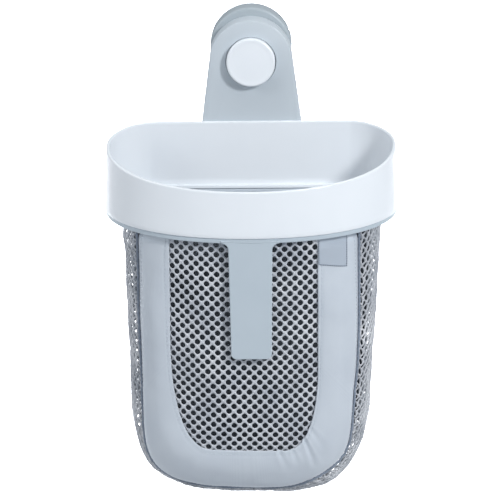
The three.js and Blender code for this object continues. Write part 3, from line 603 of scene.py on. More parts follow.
def makeRim(r):
    foot, normals, reach = stopsRound(planOutline(r))
    top = -r["backTop"] - r["slope"] * (-r["backReach"] - foot[:, 1:])
    bottom, wall, half, soft = -r["bottom"], r["wall"], r["wall"] / 2, r["foot"]
    ahead = np.clip((-r["wide"] - foot[:, 1:]) / r["turnOver"], 0, 1)
    lean = r["flare"] * (top - bottom) * (np.abs(normals[:, :1]) * (1 - ahead) + ahead)
    seat = bottom + r["hemRoom"]
    ledge = seat + r["ledge"]
    low = ledge + r["filletTop"]
    cosine, sine = arcPoints(13, 180, 0)
    rise = np.linspace(0.08, 0.95, 6)
    # outer foot edge, wall, lip, inner wall, fillet to the ledge, ledge, seat for the hem
    steps = [
        (wall, bottom),
        (soft, bottom),
        (soft * 0.3, bottom + soft * 0.3),
        (0, bottom + soft),
        (lean * rise, bottom + soft + (top - half - bottom - soft) * rise),
        (lean + half + half * cosine, top - half + half * sine),
        (wall + lean * rise[::-1], low + (top - half - low) * rise[::-1]),
        *((wall + off, ledge + up) for off, up in r["fillet"]),
        *((reach - short, ledge + up) for short, up in r["edge"]),
        (reach, seat),
        (wall, seat),
    ]
    return ring("rimBand", foot, normals, steps)


bosses = {
    "steps": 28,
    "soft": 0.5,
    "ledge": [(side * 119.8, y) for side in (-1, 1) for y in (-76.0, -100.0)],
    "back": [(-30, -75), (30, -75), (-33, -110), (33, -110)],
}


def posts(name, places, axis, radius, start, end):
    # round posts along y or z, each with a softened free end
    soft = bosses["soft"]
    radii = np.array([0.02, radius - soft, radius - soft * 0.3, radius, radius])
    along = np.array([end, end, end - soft * 0.3, end - soft, start])
    turn = fullTurn(bosses["steps"])[:, None]
    across, up = radii * np.cos(turn), radii * np.sin(turn)
    along = np.broadcast_to(along, across.shape)
    upright = axis == "z"
    post = np.stack([across, up, along] if upright else [across, along, up], -1).reshape(-1, 3)
    shifts = np.array([(a, b, 0) if upright else (a, 0, b) for a, b in places])
    quads = np.vstack([gridQuads(*across.shape, True) + k * len(post) for k in range(len(places))])
    return faceOut(meshFrom(name, (post + shifts[:, None]).reshape(-1, 3), quads))


def join(name, *parts):
    # one mesh from several, each kept as it is
    work = bmesh.new()
    for part in parts:
        work.from_mesh(part.data)
    mesh = bpy.data.meshes.new(name)
    work.to_mesh(mesh)
    work.free()
    smoothFaces(mesh)
    made = linked(name, mesh)
    for part in parts:
        bpy.data.objects.remove(part)
    return made


def keepEdges(made, angle):
    made.data.set_sharp_from_angle(angle=math.radians(angle))
    return made


rimPiece = join(
    "rimBand",
    makeRim(rim),
    posts("ledgeBosses", bosses["ledge"], "z", 3.2, -118.0, -113.0),
    posts("backBosses", bosses["back"], "y", 3.4, -39.0, -35.0),
)
dress(keepEdges(rimPiece, 42), whitePolypropylene, "scoop", ["rim"])

hoop = {
    "inset": 1.0,
    "top": 122.9,
    "bottom": 126.9,
    "round": 0.8,
    "topEdge": 0.3,
    "shoulderLine": 1.2,
    "footEdge": 0.4,
}

tab = {
    "front": 178.6,
    "back": 175.8,
    "halfTop": 18.3,
    "halfFoot": 17.1,
    "bottom": 230.0,
    "shoulder": 6.0,
    "corner": 4.5,
    "edge": 0.7,
    "ear": (0.2, 2.2),  # how far its top reaches past the shoulder and up into the hoop
}


def makeHoopRing(h):
    foot, normals, reach = stopsRound(planOutline(rim, -h["inset"]))
    top, bottom, soft, edge, low = -h["top"], -h["bottom"], h["round"], h["topEdge"], h["footEdge"]
    cosine, sine = arcPoints(5, 180, 270)
    steps = [
        (reach, top - edge),
        (reach - edge, top),
        (edge, top),
        (0, top - edge),
        (0, top - h["shoulderLine"]),
        (soft + soft * cosine, bottom + soft + soft * sine),
        (reach - low, bottom),
        (reach, bottom + low),
    ]
    return ring("hoopRing", foot, normals, steps)


def tabOutline(t):
    # right half from the foot up: rounded corner, tapering side, fillet out to the hoop; then the mirror
    corner, shoulder, top = t["corner"], t["shoulder"], -hoop["bottom"]
    c, s = arcPoints(9, -90, 0)
    foot = np.stack([t["halfFoot"] - corner + corner * c, -t["bottom"] + corner + corner * s], 1)
    c, s = arcPoints(9, 180, 90)
    fillet = np.stack([t["halfTop"] + shoulder + shoulder * c, top - shoulder + shoulder * s], 1)
    ear = np.array([[t["halfTop"] + shoulder + t["ear"][0], top + t["ear"][1]]])
    right = np.vstack([foot, fillet, ear])
    return np.vstack([right, right[::-1] * (-1, 1)])


def makeTab(t):
    # the outline in x and z pushed out from back to front, with rounded edges on both faces
    outline = tabOutline(t)
    count, soft = len(outline), t["edge"]
    angle = np.linspace(0, np.pi / 2, 5)
    inset, depth = soft * (1 - np.cos(angle)), soft * np.sin(angle)
    insets = np.concatenate([[soft + 0.5], inset[::-1], inset, [soft + 0.5]])[:, None]
    ahead, behind = t["front"] - soft + depth[::-1], t["back"] + soft - depth
    reaches = np.concatenate([[t["front"]], ahead, behind, [t["back"]]])[:, None]
    x, z = (outline[:, k] + inwardNormals(outline)[:, k] * insets for k in (0, 1))
    points = np.stack([x, np.broadcast_to(-reaches, x.shape), z], -1).reshape(-1, 3) * mm
    quads = gridQuads(len(insets), count, False, True)
    caps = [list(range(start, start + count)) for start in (0, len(points) - count)]
    mesh = bpy.data.meshes.new("frontTab")
    mesh.from_pydata(points.tolist(), [], quads.tolist() + caps)
    return faceOut(linked("frontTab", mesh))


hoopPiece = join("hoopAndTab", makeHoopRing(hoop), makeTab(tab))
dress(keepEdges(hoopPiece, 42), shadedGreyAbs, "scoop", ["hoop"])
print("rim, hoop and tab made")

# The bag: its outline from the front is a U, and "gauge" is 0 on the middle line and 1 on that outline

bag = {
    "half": 112.0,
    "taper": 0.038,
    "top": 126.1,
    "bend": 276.5,  # where the sides end and the rounded foot begins
    "foot": 104.7,
    "footPower": 3.47,
    "swing": 6.5,  # how far the outline's foot hangs to the left
    "tilt": 3.5,  # how far the foot is drawn up on the left and let down on the right
    "wide": 88.0,
    "front": 86.0,
    "frontPower": 2.3,
    "back": 43.0,
    "flatShare": 0.76,
    "cornerPower": 1.5,
    # the front seam wanders: pairs of way round the outline and gauge
    "frontSeam": [
        (0.0, 0.874), (0.09, 0.885), (0.14, 0.895), (0.18, 0.900), (0.25, 0.898), (0.32, 0.895),
        (0.345, 0.898), (0.36, 0.906), (0.375, 0.916), (0.391, 0.924), (0.41, 0.919), (0.425, 0.903),
        (0.44, 0.884), (0.46, 0.862), (0.482, 0.856), (0.51, 0.845), (0.531, 0.828), (0.545, 0.812),
        (0.56, 0.803), (0.575, 0.802), (0.59, 0.811), (0.605, 0.834), (0.62, 0.850), (0.635, 0.857),
        (0.655, 0.850), (0.67, 0.850), (0.69, 0.858), (0.72, 0.864), (0.785, 0.862), (0.856, 0.851),
        (0.907, 0.841), (0.957, 0.832), (1.0, 0.828),
    ],
    "backSeam": 0.945,  # the back reaches this far out; its dark mesh, painted shade of the bag's inside, shows through the side net as far as this
    "gather": 9.5,  # from pucker to pucker along the gathered seams
    "middle": (0, -88, -201),
}


def halfAt(z):
    # half the outline's width: it narrows evenly going down
    return bag["half"] - bag["taper"] * (-bag["top"] - z)


def gaugeAt(x, z):
    # superellipse: the share across and the share below the bend, each to the same power, are added, and the
    # root taken
    across = np.abs(x) / halfAt(z)
    down = np.clip((-bag["bend"] - z) / bag["foot"], 0, None)
    return (across ** bag["footPower"] + down ** bag["footPower"]) ** (1 / bag["footPower"])


def rounded(share, power):
    # superellipse: 1 at the middle, falling to 0 at the edge
    return (1 - np.clip(share, 0, 1) ** power) ** (1 / power)


def frontReach(gauge):
    # the front swells from nothing on the outline to its full depth on the middle line
    return bag["wide"] + bag["front"] * rounded(gauge, bag["frontPower"])


def backReach(gauge):
    # the back is flat to the flat share of the way out and then rounds forward
    corner = (gauge - bag["flatShare"]) / (1 - bag["flatShare"])
    return bag["wide"] - bag["back"] * rounded(corner, bag["cornerPower"])


def hung(x, y, z):
    # the bag hangs askew: by the square of the depth its outline swings to the left, the more the further out,
    # and its left half is drawn up and its right half let down
    fall = ((-bag["top"] - z) / (bag["bend"] + bag["foot"] - bag["top"])) ** 2
    swing = bag["swing"] * fall * gaugeAt(x, z) ** 2
    return np.stack([x - swing, y, z - bag["tilt"] * fall * x / bag["half"]], -1)


def uPoint(way, gauge):
    # way 0 to 1 runs down the left side, round the foot as a superellipse, and up the right side
    t = way * 3
    angle = np.pi * np.clip(t - 1, 0, 1)
    power = 2 / bag["footPower"]
    across = -np.sign(np.cos(angle)) * np.abs(np.cos(angle)) ** power
    down = np.clip(np.sin(angle), 0, 1) ** power
    side = np.clip(np.minimum(t, 3 - t), 0, 1)
    z = -bag["top"] - (bag["bend"] - bag["top"]) * side - bag["foot"] * gauge * down
    return halfAt(z) * gauge * across, z


def seamGauge(way):
    # the front seam's pairs joined by straight lines, then rounded by a sliding bell-shaped average
    fine = np.linspace(-0.1, 1.1, 2401)
    raw = np.interp(fine, *np.array(bag["frontSeam"]).T)
    weights = np.hanning(61)
    return np.interp(way, fine, np.convolve(raw, weights / weights.sum(), "same"))


fineWays = np.linspace(0, 1, 3001)
fineLengths = alongPath(np.stack(uPoint(fineWays, 1.0), 1))
outlineLength = fineLengths[-1]


def evenWays(count):
    # stops at even steps along the outline
    return np.interp(np.linspace(0, outlineLength, count), fineLengths, fineWays)


def outwardNormals(points, alongFirst, alongSecond):
    # a surface's normals from its two directions, turned away from the bag's middle
    normals = unit(np.cross(alongFirst, alongSecond))
    outward = np.sum(normals * (points - np.array(bag["middle"])), axis=-1)
    return normals * np.sign(np.median(outward))


def gridNormals(points):
    return outwardNormals(points, np.gradient(points, axis=0), np.gradient(points, axis=1))


def sheetPiece(name, points, quads, flat, thickness, material, stands=()):
    # a sheet of the bag with its thickness inwards, and its area in square metres: half of each quad's crossed
    # diagonals, added up
    points = points.reshape(-1, 3)
    made = faceFrom(meshFrom(name, points, quads, flat.reshape(-1, 2)), bag["middle"])
    wall = made.modifiers.new("thickness", "SOLIDIFY")
    wall.thickness = thickness * mm
    wall.offset = -1
    dress(made, material, "scoop", stands)
    corners = points[quads] * mm
    crossed = np.cross(corners[:, 2] - corners[:, 0], corners[:, 3] - corners[:, 1])
    return made, float(np.linalg.norm(crossed, axis=1).sum() / 2)


window = {
    "half": 62.7,
    "shift": -6.2,  # the opening sits a little to the left
    "bottom": 317.3,
    "left": (33.0, 93.0),  # width and height of each lower corner
    "right": (28.5, 72.5),
    "full": 0.54,  # how far down each corner's side runs before it turns
    "level": 0.68,  # how much of each corner's foot runs level
    "allowance": 5.0,
}


def windowEdge(count, margin=0.0):
    # left side down, a tall corner, the foot, the other corner and the right side up, at even steps
    w = window
    foot = -w["bottom"] - margin

    def corner(side, size):
        # a cubic Bezier curve from the side's end to the foot's, bending through two knees
        edge = w["shift"] + side * (w["half"] + margin)
        width, height = size[0] + margin, size[1] + margin
        start, end = np.array([edge, foot + height]), np.array([edge - side * width, foot])
        knee = np.array([edge, foot + height * (1 - w["full"])])
        low = np.array([edge - side * width * (1 - w["level"]), foot])
        t = np.linspace(0, 1, 60)[:, None]
        return start * (1 - t) ** 3 + 3 * knee * t * (1 - t) ** 2 + 3 * low * t**2 * (1 - t) + end * t**3

    left, right = corner(-1, w["left"]), corner(1, w["right"])[::-1]
    line = np.vstack([[(left[0, 0], -bag["top"])], left, right, [(right[-1, 0], -bag["top"])]])
    measure = alongPath(line)
    return between(np.linspace(0, measure[-1], count), measure, line)


panel = {
    "along": 521,
    "across": 45,
    "thickness": 1.3,
    "unevenness": (0.9, 70, 4),  # height, size and seed
    "tuck": (2.3, 3.8),  # how far the cloth dips into the seam, and over what distance
    "swell": (5.0, 9.0),  # how far it stands out beside the front seam, and over what distance
    "swellFade": (4, 65),  # depth below the hoop where the swell begins, and over what depth it grows
    "drawnIn": (1.9, 131.2, 3.0),  # how far the cloth is drawn in below the hoop, at what depth and how wide
    "hemRoll": (0.25, 3.4, 1.3),  # depth of the stitched line, its distance from the window and its width
    # where each crease starts and ends, its width and depth: they run out from the window's lower corners
    "creases": [
        ((21.5, -314.0), (31.5, -336.0), 2.0, 1.1),
        ((33.0, -313.0), (39.5, -330.0), 1.5, 0.9),
        ((44.5, -306.0), (54.5, -334.5), 1.7, 1.5),
        ((49.5, -297.0), (62.0, -318.0), 2.2, 0.6),
        ((-34.0, -311.0), (-47.0, -333.0), 2.6, 0.5),
        ((-45.0, -303.0), (-62.0, -322.0), 3.2, 0.5),
    ],
    "ridges": (0.45, 1.9),  # height and distance of the two ridges, as shares of a crease's depth and width
}


def bell(distance, width):
    return np.exp(-((distance / width) ** 2))


def creaseDepth(x, z, p):
    # each crease is a valley with the profile of a bell curve, flanked by two low ridges; it widens as it runs
    # out and dies away at its end
    depth = np.zeros_like(x)
    ridge, apart = p["ridges"]
    for start, end, size, deep in p["creases"]:
        run = math.dist(start, end)
        way = (np.array(end) - start) / run
        along = (x - start[0]) * way[0] + (z - start[1]) * way[1]
        off = (x - start[0]) * way[1] - (z - start[1]) * way[0]
        off = off / (size * (0.7 + 0.8 * np.clip(along / run, 0, 1.3)))
        fade = np.clip(along / 3 + 0.6, 0, 1) * np.clip(1 - along / run, 0, 1) ** 0.8
        depth += deep * fade * (bell(off, 1) - ridge * bell(np.abs(off) - apart, 1))
    return depth


def clothUnevenness(x, z):
    height, size, seed = panel["unevenness"]
    return height * smoothRandom(x, z, size, seed)


def swellAt(share, fromSeam, z, p):
    # the swell rises from the seam as one less a bell curve and fades to nothing at the window and under the
    # hoop; just below the hoop the cloth is drawn in by a bell curve of the depth
    rise, over = p["swell"]
    begin, grown = p["swellFade"]
    inward, depth, wide = p["drawnIn"]
    fade = np.sin(np.pi / 2 * np.clip(2.2 * share, 0, 1)) * np.clip((-bag["top"] - z - begin) / grown, 0, 1)
    return rise * fade * (1 - bell(fromSeam, over)) - inward * bell(z + depth, wide)


def panelGrid(p):
    # straight lines across from the window's edge to the front seam, laid on the bag's front
    ways = evenWays(p["along"])
    edge = windowEdge(p["along"])
    seamX, seamZ = uPoint(ways, seamGauge(ways) - 0.003)
    share = np.linspace(0, 1, p["across"])[None, :]
    x = edge[:, :1] * (1 - share) + seamX[:, None] * share
    z = edge[:, 1:] * (1 - share) + seamZ[:, None] * share
    points = hung(x, -frontReach(gaugeAt(x, z)), z)
    width = np.hypot(seamX - edge[:, 0], seamZ - edge[:, 1])[:, None]
    fromSeam = (1 - share) * width
    dip, over = p["tuck"]
    roll, rollAt, rollWide = p["hemRoll"]
    puff = clothUnevenness(x, z) * np.sin(np.pi * share) ** 0.6
    puff = puff - dip * bell(fromSeam, over) - creaseDepth(x, z, p) + swellAt(share, fromSeam, z, p)
    puff = puff - roll * bell(share * width - rollAt, rollWide)
    normals = gridNormals(points)
    uv = np.stack([np.broadcast_to(ways[:, None] * outlineLength, x.shape), share * width], -1)
    return points + normals * puff[..., None], normals, uv, width


panelPoints, panelNormals, panelUv, panelWidth = panelGrid(panel)
cloth, clothArea = sheetPiece(
    "clothPanel",
    panelPoints,
    gridQuads(*panelPoints.shape[:2]),
    panelUv,
    panel["thickness"],
    greyWeave,
    ["front_panel"],
)
print("cloth panel made")

# The net: a square lattice turned 45 degrees, one round hole in each cell

net = {
    "pitch": 8.8,
    "hole": 2.45,
    "yarn": 1.0,
    "crown": 0.5,
    "round": 12,  # points on a cell's edge, and as many on its hole
    "overlap": 2.5,  # how far past the edge a cell's middle may lie
    "sway": (0.9, 60, 11),  # height, size and seed
    "setback": 0.7,
    "bendDepth": 215.0,  # the front's curve is measured at this depth
}
stripNet = {**net, "hole": 2.35, "yarn": 0.8, "crown": 0.9}


def netCells(width, height, n):
    # flat net over 0..width, 0..height: each diamond cell has points on its edge, which is the yarn's crown,
    # and as many on its hole, marked 1
    half, count = n["pitch"] / 2, n["round"]
    i, j = np.meshgrid(
        np.arange(-1, int(width / half) + 3), np.arange(-1, int(height / half) + 3), indexing="ij"
    )
    keep = (i + j) % 2 == 0
    centres = np.stack([i[keep], j[keep]], 1) * half
    k = np.arange(count)
    side = count // 4
    leg, step = k // side, ((k % side) / side)[:, None]
    tips = np.array([[1, 0], [0, 1], [-1, 0], [0, -1]], float)
    outer = tips[leg] * (1 - step) + tips[(leg + 1) % 4] * step
    template = np.vstack([outer * half, unit(outer) * n["hole"]])
    points = (centres[:, None] + template).reshape(-1, 2)
    after = (k + 1) % count
    quads = np.stack([k, after, after + count, k + count], 1)
    faces = (np.arange(len(centres))[:, None, None] * 2 * count + quads).reshape(-1, 4)
    sunk = np.tile(np.repeat([0.0, 1.0], count), len(centres))
    return points, sunk, faces, np.repeat(centres, 2 * count, axis=0)


def weldFlat(points, sunk, faces, keepPoint):
    # drops cells outside, joins the points that neighbours share, and leaves out faces that have closed up
    faces = faces[keepPoint[faces[:, 0]]]
    keys, where = np.unique(np.round(np.column_stack([points, sunk]), 3), axis=0, return_inverse=True)
    used, faces = np.unique(where.reshape(-1)[faces], return_inverse=True)
    faces = faces.reshape(-1, 4)
    corners = keys[used][faces][:, :, :2]
    crossed = np.cross(corners[:, 2] - corners[:, 0], corners[:, 3] - corners[:, 1])
    return keys[used][:, :2], keys[used][:, 2], faces[np.abs(crossed) > 0.02]


def drawnOnto(x, z, line):
    # places outside a closed line move to its nearest point; a place is outside if a level line to its right
    # crosses the line an even number of times
    ends = np.roll(line, -1, 0)
    spans = (line[None, :, 1] > z[:, None]) != (ends[None, :, 1] > z[:, None])
    rise = np.where(ends[:, 1] == line[:, 1], 1e-9, ends[:, 1] - line[:, 1])
    crossing = line[:, 0] + (z[:, None] - line[:, 1]) * ((ends[:, 0] - line[:, 0]) / rise)
    outside = (np.sum(spans & (x[:, None] < crossing), axis=1) % 2) == 0
    apart = np.full(len(x), -1.0)
    far = np.hypot(x[outside, None] - line[:, 0], z[outside, None] - line[:, 1])
    apart[outside] = far.min(axis=1)
    x, z = x.copy(), z.copy()
    x[outside], z[outside] = line[far.argmin(axis=1)].T
    return x, z, apart


def makeWindowNet(n):
    # the flat net is bent round the front by arc length, and hangs a little behind the cloth
    arcX = np.linspace(-110, 110, 881)
    arc = alongPath(np.stack([arcX, frontReach(gaugeAt(arcX, np.full_like(arcX, -n["bendDepth"])))], 1))
    arc = arc - np.interp(0, arcX, arc)
    line = windowEdge(900, window["allowance"])
    across = np.linspace(line[-1, 0], line[0, 0], 260)[1:-1]
    line = np.vstack([line, np.stack([across, np.full_like(across, -bag["top"])], 1)])
    low, high = np.interp([line[:, 0].min(), line[:, 0].max()], arcX, arc)

    def onFront(places):
        return np.interp(places[:, 0] + low, arc, arcX), -bag["top"] - places[:, 1]

    flat, sunk, faces, centres = netCells(high - low, window["bottom"] + window["allowance"] - bag["top"], n)
    each = 2 * n["round"]
    _, _, beyond = drawnOnto(*onFront(centres[::each]), line)
    # points past the edge are drawn back onto it, so the net ends in a clean line
    x, z, _ = drawnOnto(*onFront(flat), line)
    flat, sunk, faces = weldFlat(np.stack([x, z], 1), sunk, faces, np.repeat(beyond, each) < n["overlap"])
    x, z = flat.T
    height, size, seed = n["sway"]
    sway = np.clip(height * smoothRandom(x, z, size, seed), -1.2, 0.4)
    y = -(frontReach(gaugeAt(x, z)) - panel["thickness"] - n["setback"] + sway - n["crown"] * sunk)
    return sheetPiece("windowNet", hung(x, y, z), faces, flat, n["yarn"], netYarn, ["window_net"])


strip = {
    "backPoints": 60,
    "stops": 1200,
    "step": 0.5,  # half the distance over which its directions are measured
    "setback": 0.5,
    "pucker": (1.1, 12),  # height at the seams, and how far in it reaches
    "puckerDrift": (1.6, 60, 21),  # turn of the wave, size and seed
    "sway": (1.2, 45, 23),
}


def gussetSection():
    # across the strip, from the back seam over the widest line and forward: gauge, reach and distance
    back = 1 - (1 - bag["backSeam"]) * np.linspace(1, 0, strip["backPoints"]) ** 2
    narrowest = min(gauge for _, gauge in bag["frontSeam"]) - 0.01
    angle = np.linspace(np.pi / 2, math.asin(narrowest ** (bag["frontPower"] / 2)), 90)[1:]
    front = np.sin(angle) ** (2 / bag["frontPower"])
    gauges = np.concatenate([back, front])
    reaches = np.concatenate([backReach(back), frontReach(front)])
    return gauges, reaches, alongPath(np.stack([gauges * bag["half"], reaches], 1))


def makeGusset(s):
    # the flat net follows the outline by arc length; its front edge is cut where the front seam runs
    gauges, reaches, distance = gussetSection()
    length, deepest, step = outlineLength, distance[-1], s["step"]
    lengths = np.linspace(0, length, s["stops"])
    ahead = slice(s["backPoints"], None)
    widths = np.interp(-(seamGauge(evenWays(s["stops"])) + 0.001), -gauges[ahead], distance[ahead])

    def place(along, across):
        along, across = np.clip(along, 0, length), np.clip(across, 0, deepest)
        x, z = uPoint(np.interp(along, fineLengths, fineWays), np.interp(across, distance, gauges))
        return hung(x, -np.interp(across, distance, reaches), z)

    flat, sunk, faces, centres = netCells(length, deepest, stripNet)
    middle, off = centres.T
    keep = (middle > -1) & (middle < length + 1) & (off > -1) & (off < np.interp(middle, lengths, widths) + 1)
    along = np.clip(flat[:, 0], 0, length)
    across = np.clip(flat[:, 1], 0, np.interp(along, lengths, widths))
    flat, sunk, faces = weldFlat(np.stack([along, across], 1), sunk, faces, keep)
    along, across = flat.T
    width = np.interp(along, lengths, widths)
    points = place(along, across)
    alongIt = place(along + step, across) - place(along - step, across)
    acrossIt = place(along, across + step) - place(along, across - step)
    normals = outwardNormals(points, alongIt, acrossIt)
    # puckers gathered at both seams, and a softer sway between them
    height, reach = s["pucker"]
    turn, size, seed = s["puckerDrift"]
    edge = bell(across, reach) + bell(width - across, reach)
    wave = 2 * np.pi * along / bag["gather"] + turn * smoothRandom(along, across, size, seed)
    pucker = height * edge * np.sin(wave)
    height, size, seed = s["sway"]
    sway = height * smoothRandom(along, across, size, seed) * np.sin(np.pi * np.clip(across / width, 0, 1))
    lift = pucker + sway - s["setback"] - stripNet["crown"] * sunk
    points = points + normals * lift[:, None]
    return sheetPiece("sideNet", points, faces, flat, stripNet["yarn"], litAndShadedSideYarn, ["gusset"])


back = {"rows": 150, "columns": 121, "thickness": 1.1, "setback": 0.4, "unevenness": (0.8, 80, 31)}


def makeBackMesh(b):
    # rows across from the outline's left side to its right, closer together towards the sides, on the back
    ways = evenWays(2 * b["rows"] - 1)[: b["rows"]]
    endX, endZ = uPoint(ways, bag["backSeam"] - 0.003)
    across = -np.cos(np.linspace(0, np.pi, b["columns"]))[None, :]
    x = -endX[:, None] * across
    z = np.broadcast_to(endZ[:, None], x.shape)
    height, size, seed = b["unevenness"]
    sway = np.clip(height * smoothRandom(x, z, size, seed), -0.3, 1.2)
    points = hung(x, -(backReach(gaugeAt(x, z)) + b["setback"] + sway), z)
    flat = np.stack([x, z], -1)
    quads = gridQuads(*x.shape)
    return sheetPiece("backMesh", points, quads, flat, b["thickness"], shadeDarkBackMesh, ["back_panel"])


windowNet, windowNetArea = makeWindowNet(net)
sideNet, sideNetArea = makeGusset(strip)
backMesh, backMeshArea = makeBackMesh(back)
print("nets and back made")

# Seams, stitches, hem tape and the bare label

seams = {
    "front": {"radii": (0.9, 1.1), "lift": -1.3, "phase": 2},  # radii along the surface and off it
    "back": {"radii": (1.5, 0.9), "lift": -0.5, "phase": 5},
    "steps": 700,
    "sides": 10,
    "wobble": 0.3,
    "core": 250.0,  # below this depth the seams face away from one point
}


def makeSeam(name, s, gaugeOf, reachOf, material):
    # a soft cord along a line of one gauge round the outline, lifted off the surface, with a small wave where
    # the net is gathered
    count = seams["steps"]
    ways = evenWays(count)
    gauge = gaugeOf(ways)
    x, z = uPoint(ways, gauge)
    path = hung(x, -reachOf(gauge), z)
    core = np.stack([np.zeros(count), np.full(count, -bag["wide"]), np.maximum(z, -seams["core"])], 1)
    outward = unit(path - core)
    wave = 2 * np.pi * ways * outlineLength / bag["gather"] + 1.5 * np.sin(ways * 40 + s["phase"])
    path = path + outward * (s["lift"] + seams["wobble"] * np.sin(wave))[:, None]
    along = unit(np.gradient(path, axis=0))
    side = unit(np.cross(along, outward))
    lift = np.cross(side, along)
    turn = fullTurn(seams["sides"])
    wide, high = s["radii"]
    cosine, sine = (wide * np.cos(turn))[:, None], (high * np.sin(turn))[:, None]
    points = path[:, None] + side[:, None] * cosine + lift[:, None] * sine
    uv = np.stack(np.broadcast_arrays(alongPath(path)[:, None], turn * wide), -1)
    quads = gridQuads(count, len(turn), False, True)
    made = faceOut(meshFrom(name, points.reshape(-1, 3), quads, uv.reshape(-1, 2)), True)
    return dress(made, material, "scoop")


# the front cord is dark slate: painted shade of the recess between cloth and net
frontSeam = makeSeam("frontSeam", seams["front"], seamGauge, frontReach, slateThreadAndSeamShade)
backSeam = makeSeam(
    "backSeam", seams["back"], lambda ways: np.full_like(ways, bag["backSeam"]), backReach, tapeWeave
)

stitch = {"pitch": 3.4, "length": 2.5, "radius": 0.28, "rings": 7, "sides": 6}


def stitchRow(name, path, outward, thread, s):
    # one short rounded bar for each stitch, along the path and half sunk in the cloth
    measure = alongPath(path)
    starts = np.arange(s["pitch"] / 2, measure[-1] - s["length"], s["pitch"])
    share = np.linspace(0, 1, s["rings"])
    where = starts[:, None] + s["length"] * share
    centre = between(where, measure, path)
    up = unit(between(where, measure, outward))
    side = np.cross(np.broadcast_to(unit(centre[:, -1:] - centre[:, :1]), centre.shape), up)
    arch = np.sqrt(np.clip(1 - (2 * share - 1) ** 2, 0, 1))
    swell = arch * 0.85 + 0.15
    swell[[0, -1]] = 0.05
    rise = s["radius"] * 1.1 * (arch - 0.35)
    turn = fullTurn(s["sides"])
    across = s["radius"] * swell[:, None] * np.cos(turn)
    above = rise[:, None] + s["radius"] * swell[:, None] * np.sin(turn)
    points = centre[:, :, None] + side[:, :, None] * across[..., None] + up[:, :, None] * above[..., None]
    quads = gridQuads(s["rings"], s["sides"], False, True)
    faces = (np.arange(len(starts))[:, None, None] * s["rings"] * s["sides"] + quads).reshape(-1, 4)
    return dress(faceOut(meshFrom(name, points.reshape(-1, 3), faces)), thread, "scoop")


def onPanel(distance, fromSeam):
    # a line on the cloth at an even distance from the seam or from the window's edge
    count, columns = panelPoints.shape[:2]
    share = distance / panelWidth[:, 0]
    column = (1 - share if fromSeam else share) * (columns - 1)
    base = np.floor(column).astype(int)
    mix = (column - base)[:, None]
    rows = np.arange(count)
    line = panelPoints[rows, base] * (1 - mix) + panelPoints[rows, base + 1] * mix
    return line, panelNormals[rows, base]


stitchRows = [
    stitchRow("windowStitches", *onPanel(3.4, False), sewingThread, stitch),
    stitchRow("seamStitches", *onPanel(4.2, True), sewingThread, stitch),
]

hem = {
    "inset": 0.6,
    "thickness": 1.5,
    "flange": 3.2,
    "flangeBack": 1.5,  # the flange is this wide at the back, and wider by the turn to the side
    "flangeTurn": 2.2,
    "top": 121.2,
    "seat": 122.6,
    "bottom": 125.9,
    "topEdge": 0.4,
    "footEdge": 0.3,
    "radius": 100.0,  # of the circle that its cloth is measured round
}


def makeHem(h):
    # an L carried round the mouth: a flange on the hoop and a leg down inside it
    foot, normals, _ = stopsRound(planOutline(mouth, -h["inset"]))
    outwards = np.minimum(h["flange"], h["flangeBack"] + h["flangeTurn"] * np.abs(normals[:, :1]))
    seat, top, bottom, thick = -h["seat"], -h["top"], -h["bottom"], h["thickness"]
    edge, low = h["topEdge"], h["footEdge"]
    steps = [
        (-outwards, seat),
        (-outwards, top),
        (thick - edge, top),
        (thick, top - edge),
        (thick, bottom + low),
        (thick - edge, bottom),
        (0.1, bottom),
        (0, bottom + low),
        (0, seat),
    ]
    made = keepEdges(ring("hemTape", foot, normals, steps), 50)
    # its cloth map: the turn round the bag's middle times a radius, and the height
    mesh = made.data
    corners = np.empty(len(mesh.loops), int)
    places = np.empty(len(mesh.vertices) * 3)
    mesh.loops.foreach_get("vertex_index", corners)
    mesh.vertices.foreach_get("co", places)
    x, y, z = places.reshape(-1, 3).T
    turn = np.arctan2(x, -y - bag["wide"] * mm) * h["radius"] * mm
    mesh.uv_layers.new(name="cloth").data.foreach_set("uv", np.stack([turn, z], 1)[corners].ravel())
    return made


hemPiece = dress(makeHem(hem), tapeWeave, "scoop", ["bag_hem"])

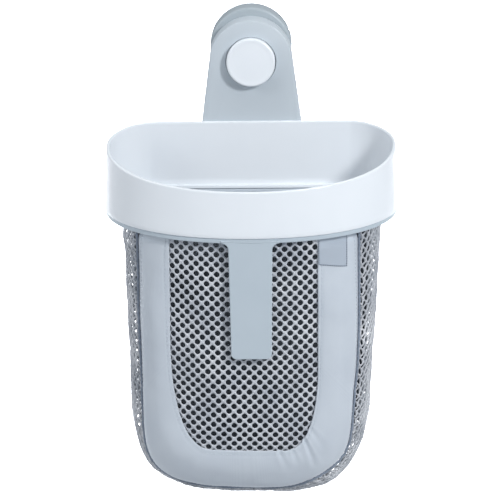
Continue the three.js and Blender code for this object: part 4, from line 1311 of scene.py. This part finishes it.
label = {
    "left": 56.6,
    "right": 81.3,
    "top": 127.6,
    "leftFoot": 150.4,
    "rightFoot": 155.2,  # the foot slants on the cloth, so that it looks level from the front
    "thickness": 0.7,
    "gap": 0.15,
    "edge": 0.9,
    "turnedDown": 0.4,  # how much deeper than its thickness the edge reaches
    "steps": 40,
}


def border(table):
    # the second row and column from each side, in turn
    return np.vstack([table[1:-1, 1], table[-2, 1:-1], table[1:-1, -2][::-1], table[1, 1:-1][::-1]])


def makeLabel(b):
    # a square woven patch laid on the cloth, its edge turned down onto it
    u = np.linspace(0, 1, b["steps"])
    straightX = b["left"] + (b["right"] - b["left"]) * u[:, None] + 0 * u[None, :]
    foot = b["leftFoot"] + (b["rightFoot"] - b["leftFoot"]) * u[:, None]
    z = -b["top"] - (foot - b["top"]) * u[None, :]
    inside = np.minimum(u, 1 - u) * (b["right"] - b["left"])
    side = np.minimum(inside[:, None], inside[None, :])
    edgeX = window["shift"] + window["half"]
    x = straightX
    for _ in range(3):
        # the lift off the bag's round front moves a point sideways too, so each pass starts further in
        flat = hung(x, -frontReach(gaugeAt(x, z)), z)
        normals = gridNormals(flat)
        # the cloth's swell below the label: the front seam lies as far out as its gauge at this height says
        seamX = halfAt(z) * seamGauge(1 + (z + bag["top"]) / (bag["bend"] - bag["top"]) / 3)
        lift = clothUnevenness(x, z) + swellAt((x - edgeX) / (seamX - edgeX), seamX - x, z, panel)
        lift = lift + b["thickness"] * np.clip(side / b["edge"], 0, 1) ** 0.5 + b["gap"]
        points = flat + normals * lift[..., None]
        x = straightX - normals[..., 0] * lift
    quads, uv = gridQuads(*x.shape), np.stack([x, z], -1)
    thickness = b["thickness"] + b["turnedDown"]
    made, area = sheetPiece("plainLabel", points, quads, uv, thickness, labelWeave)
    return made, area, border(points), border(normals)


labelPiece, labelArea, labelLine, labelOut = makeLabel(label)
labelStitch = {**stitch, "pitch": 2.0, "length": 1.9, "radius": 0.4}
labelStitches = stitchRow("labelStitches", labelLine, labelOut, slateThreadAndSeamShade, labelStitch)
print("seams, stitches, hem and label made")

print("bag pieces made")
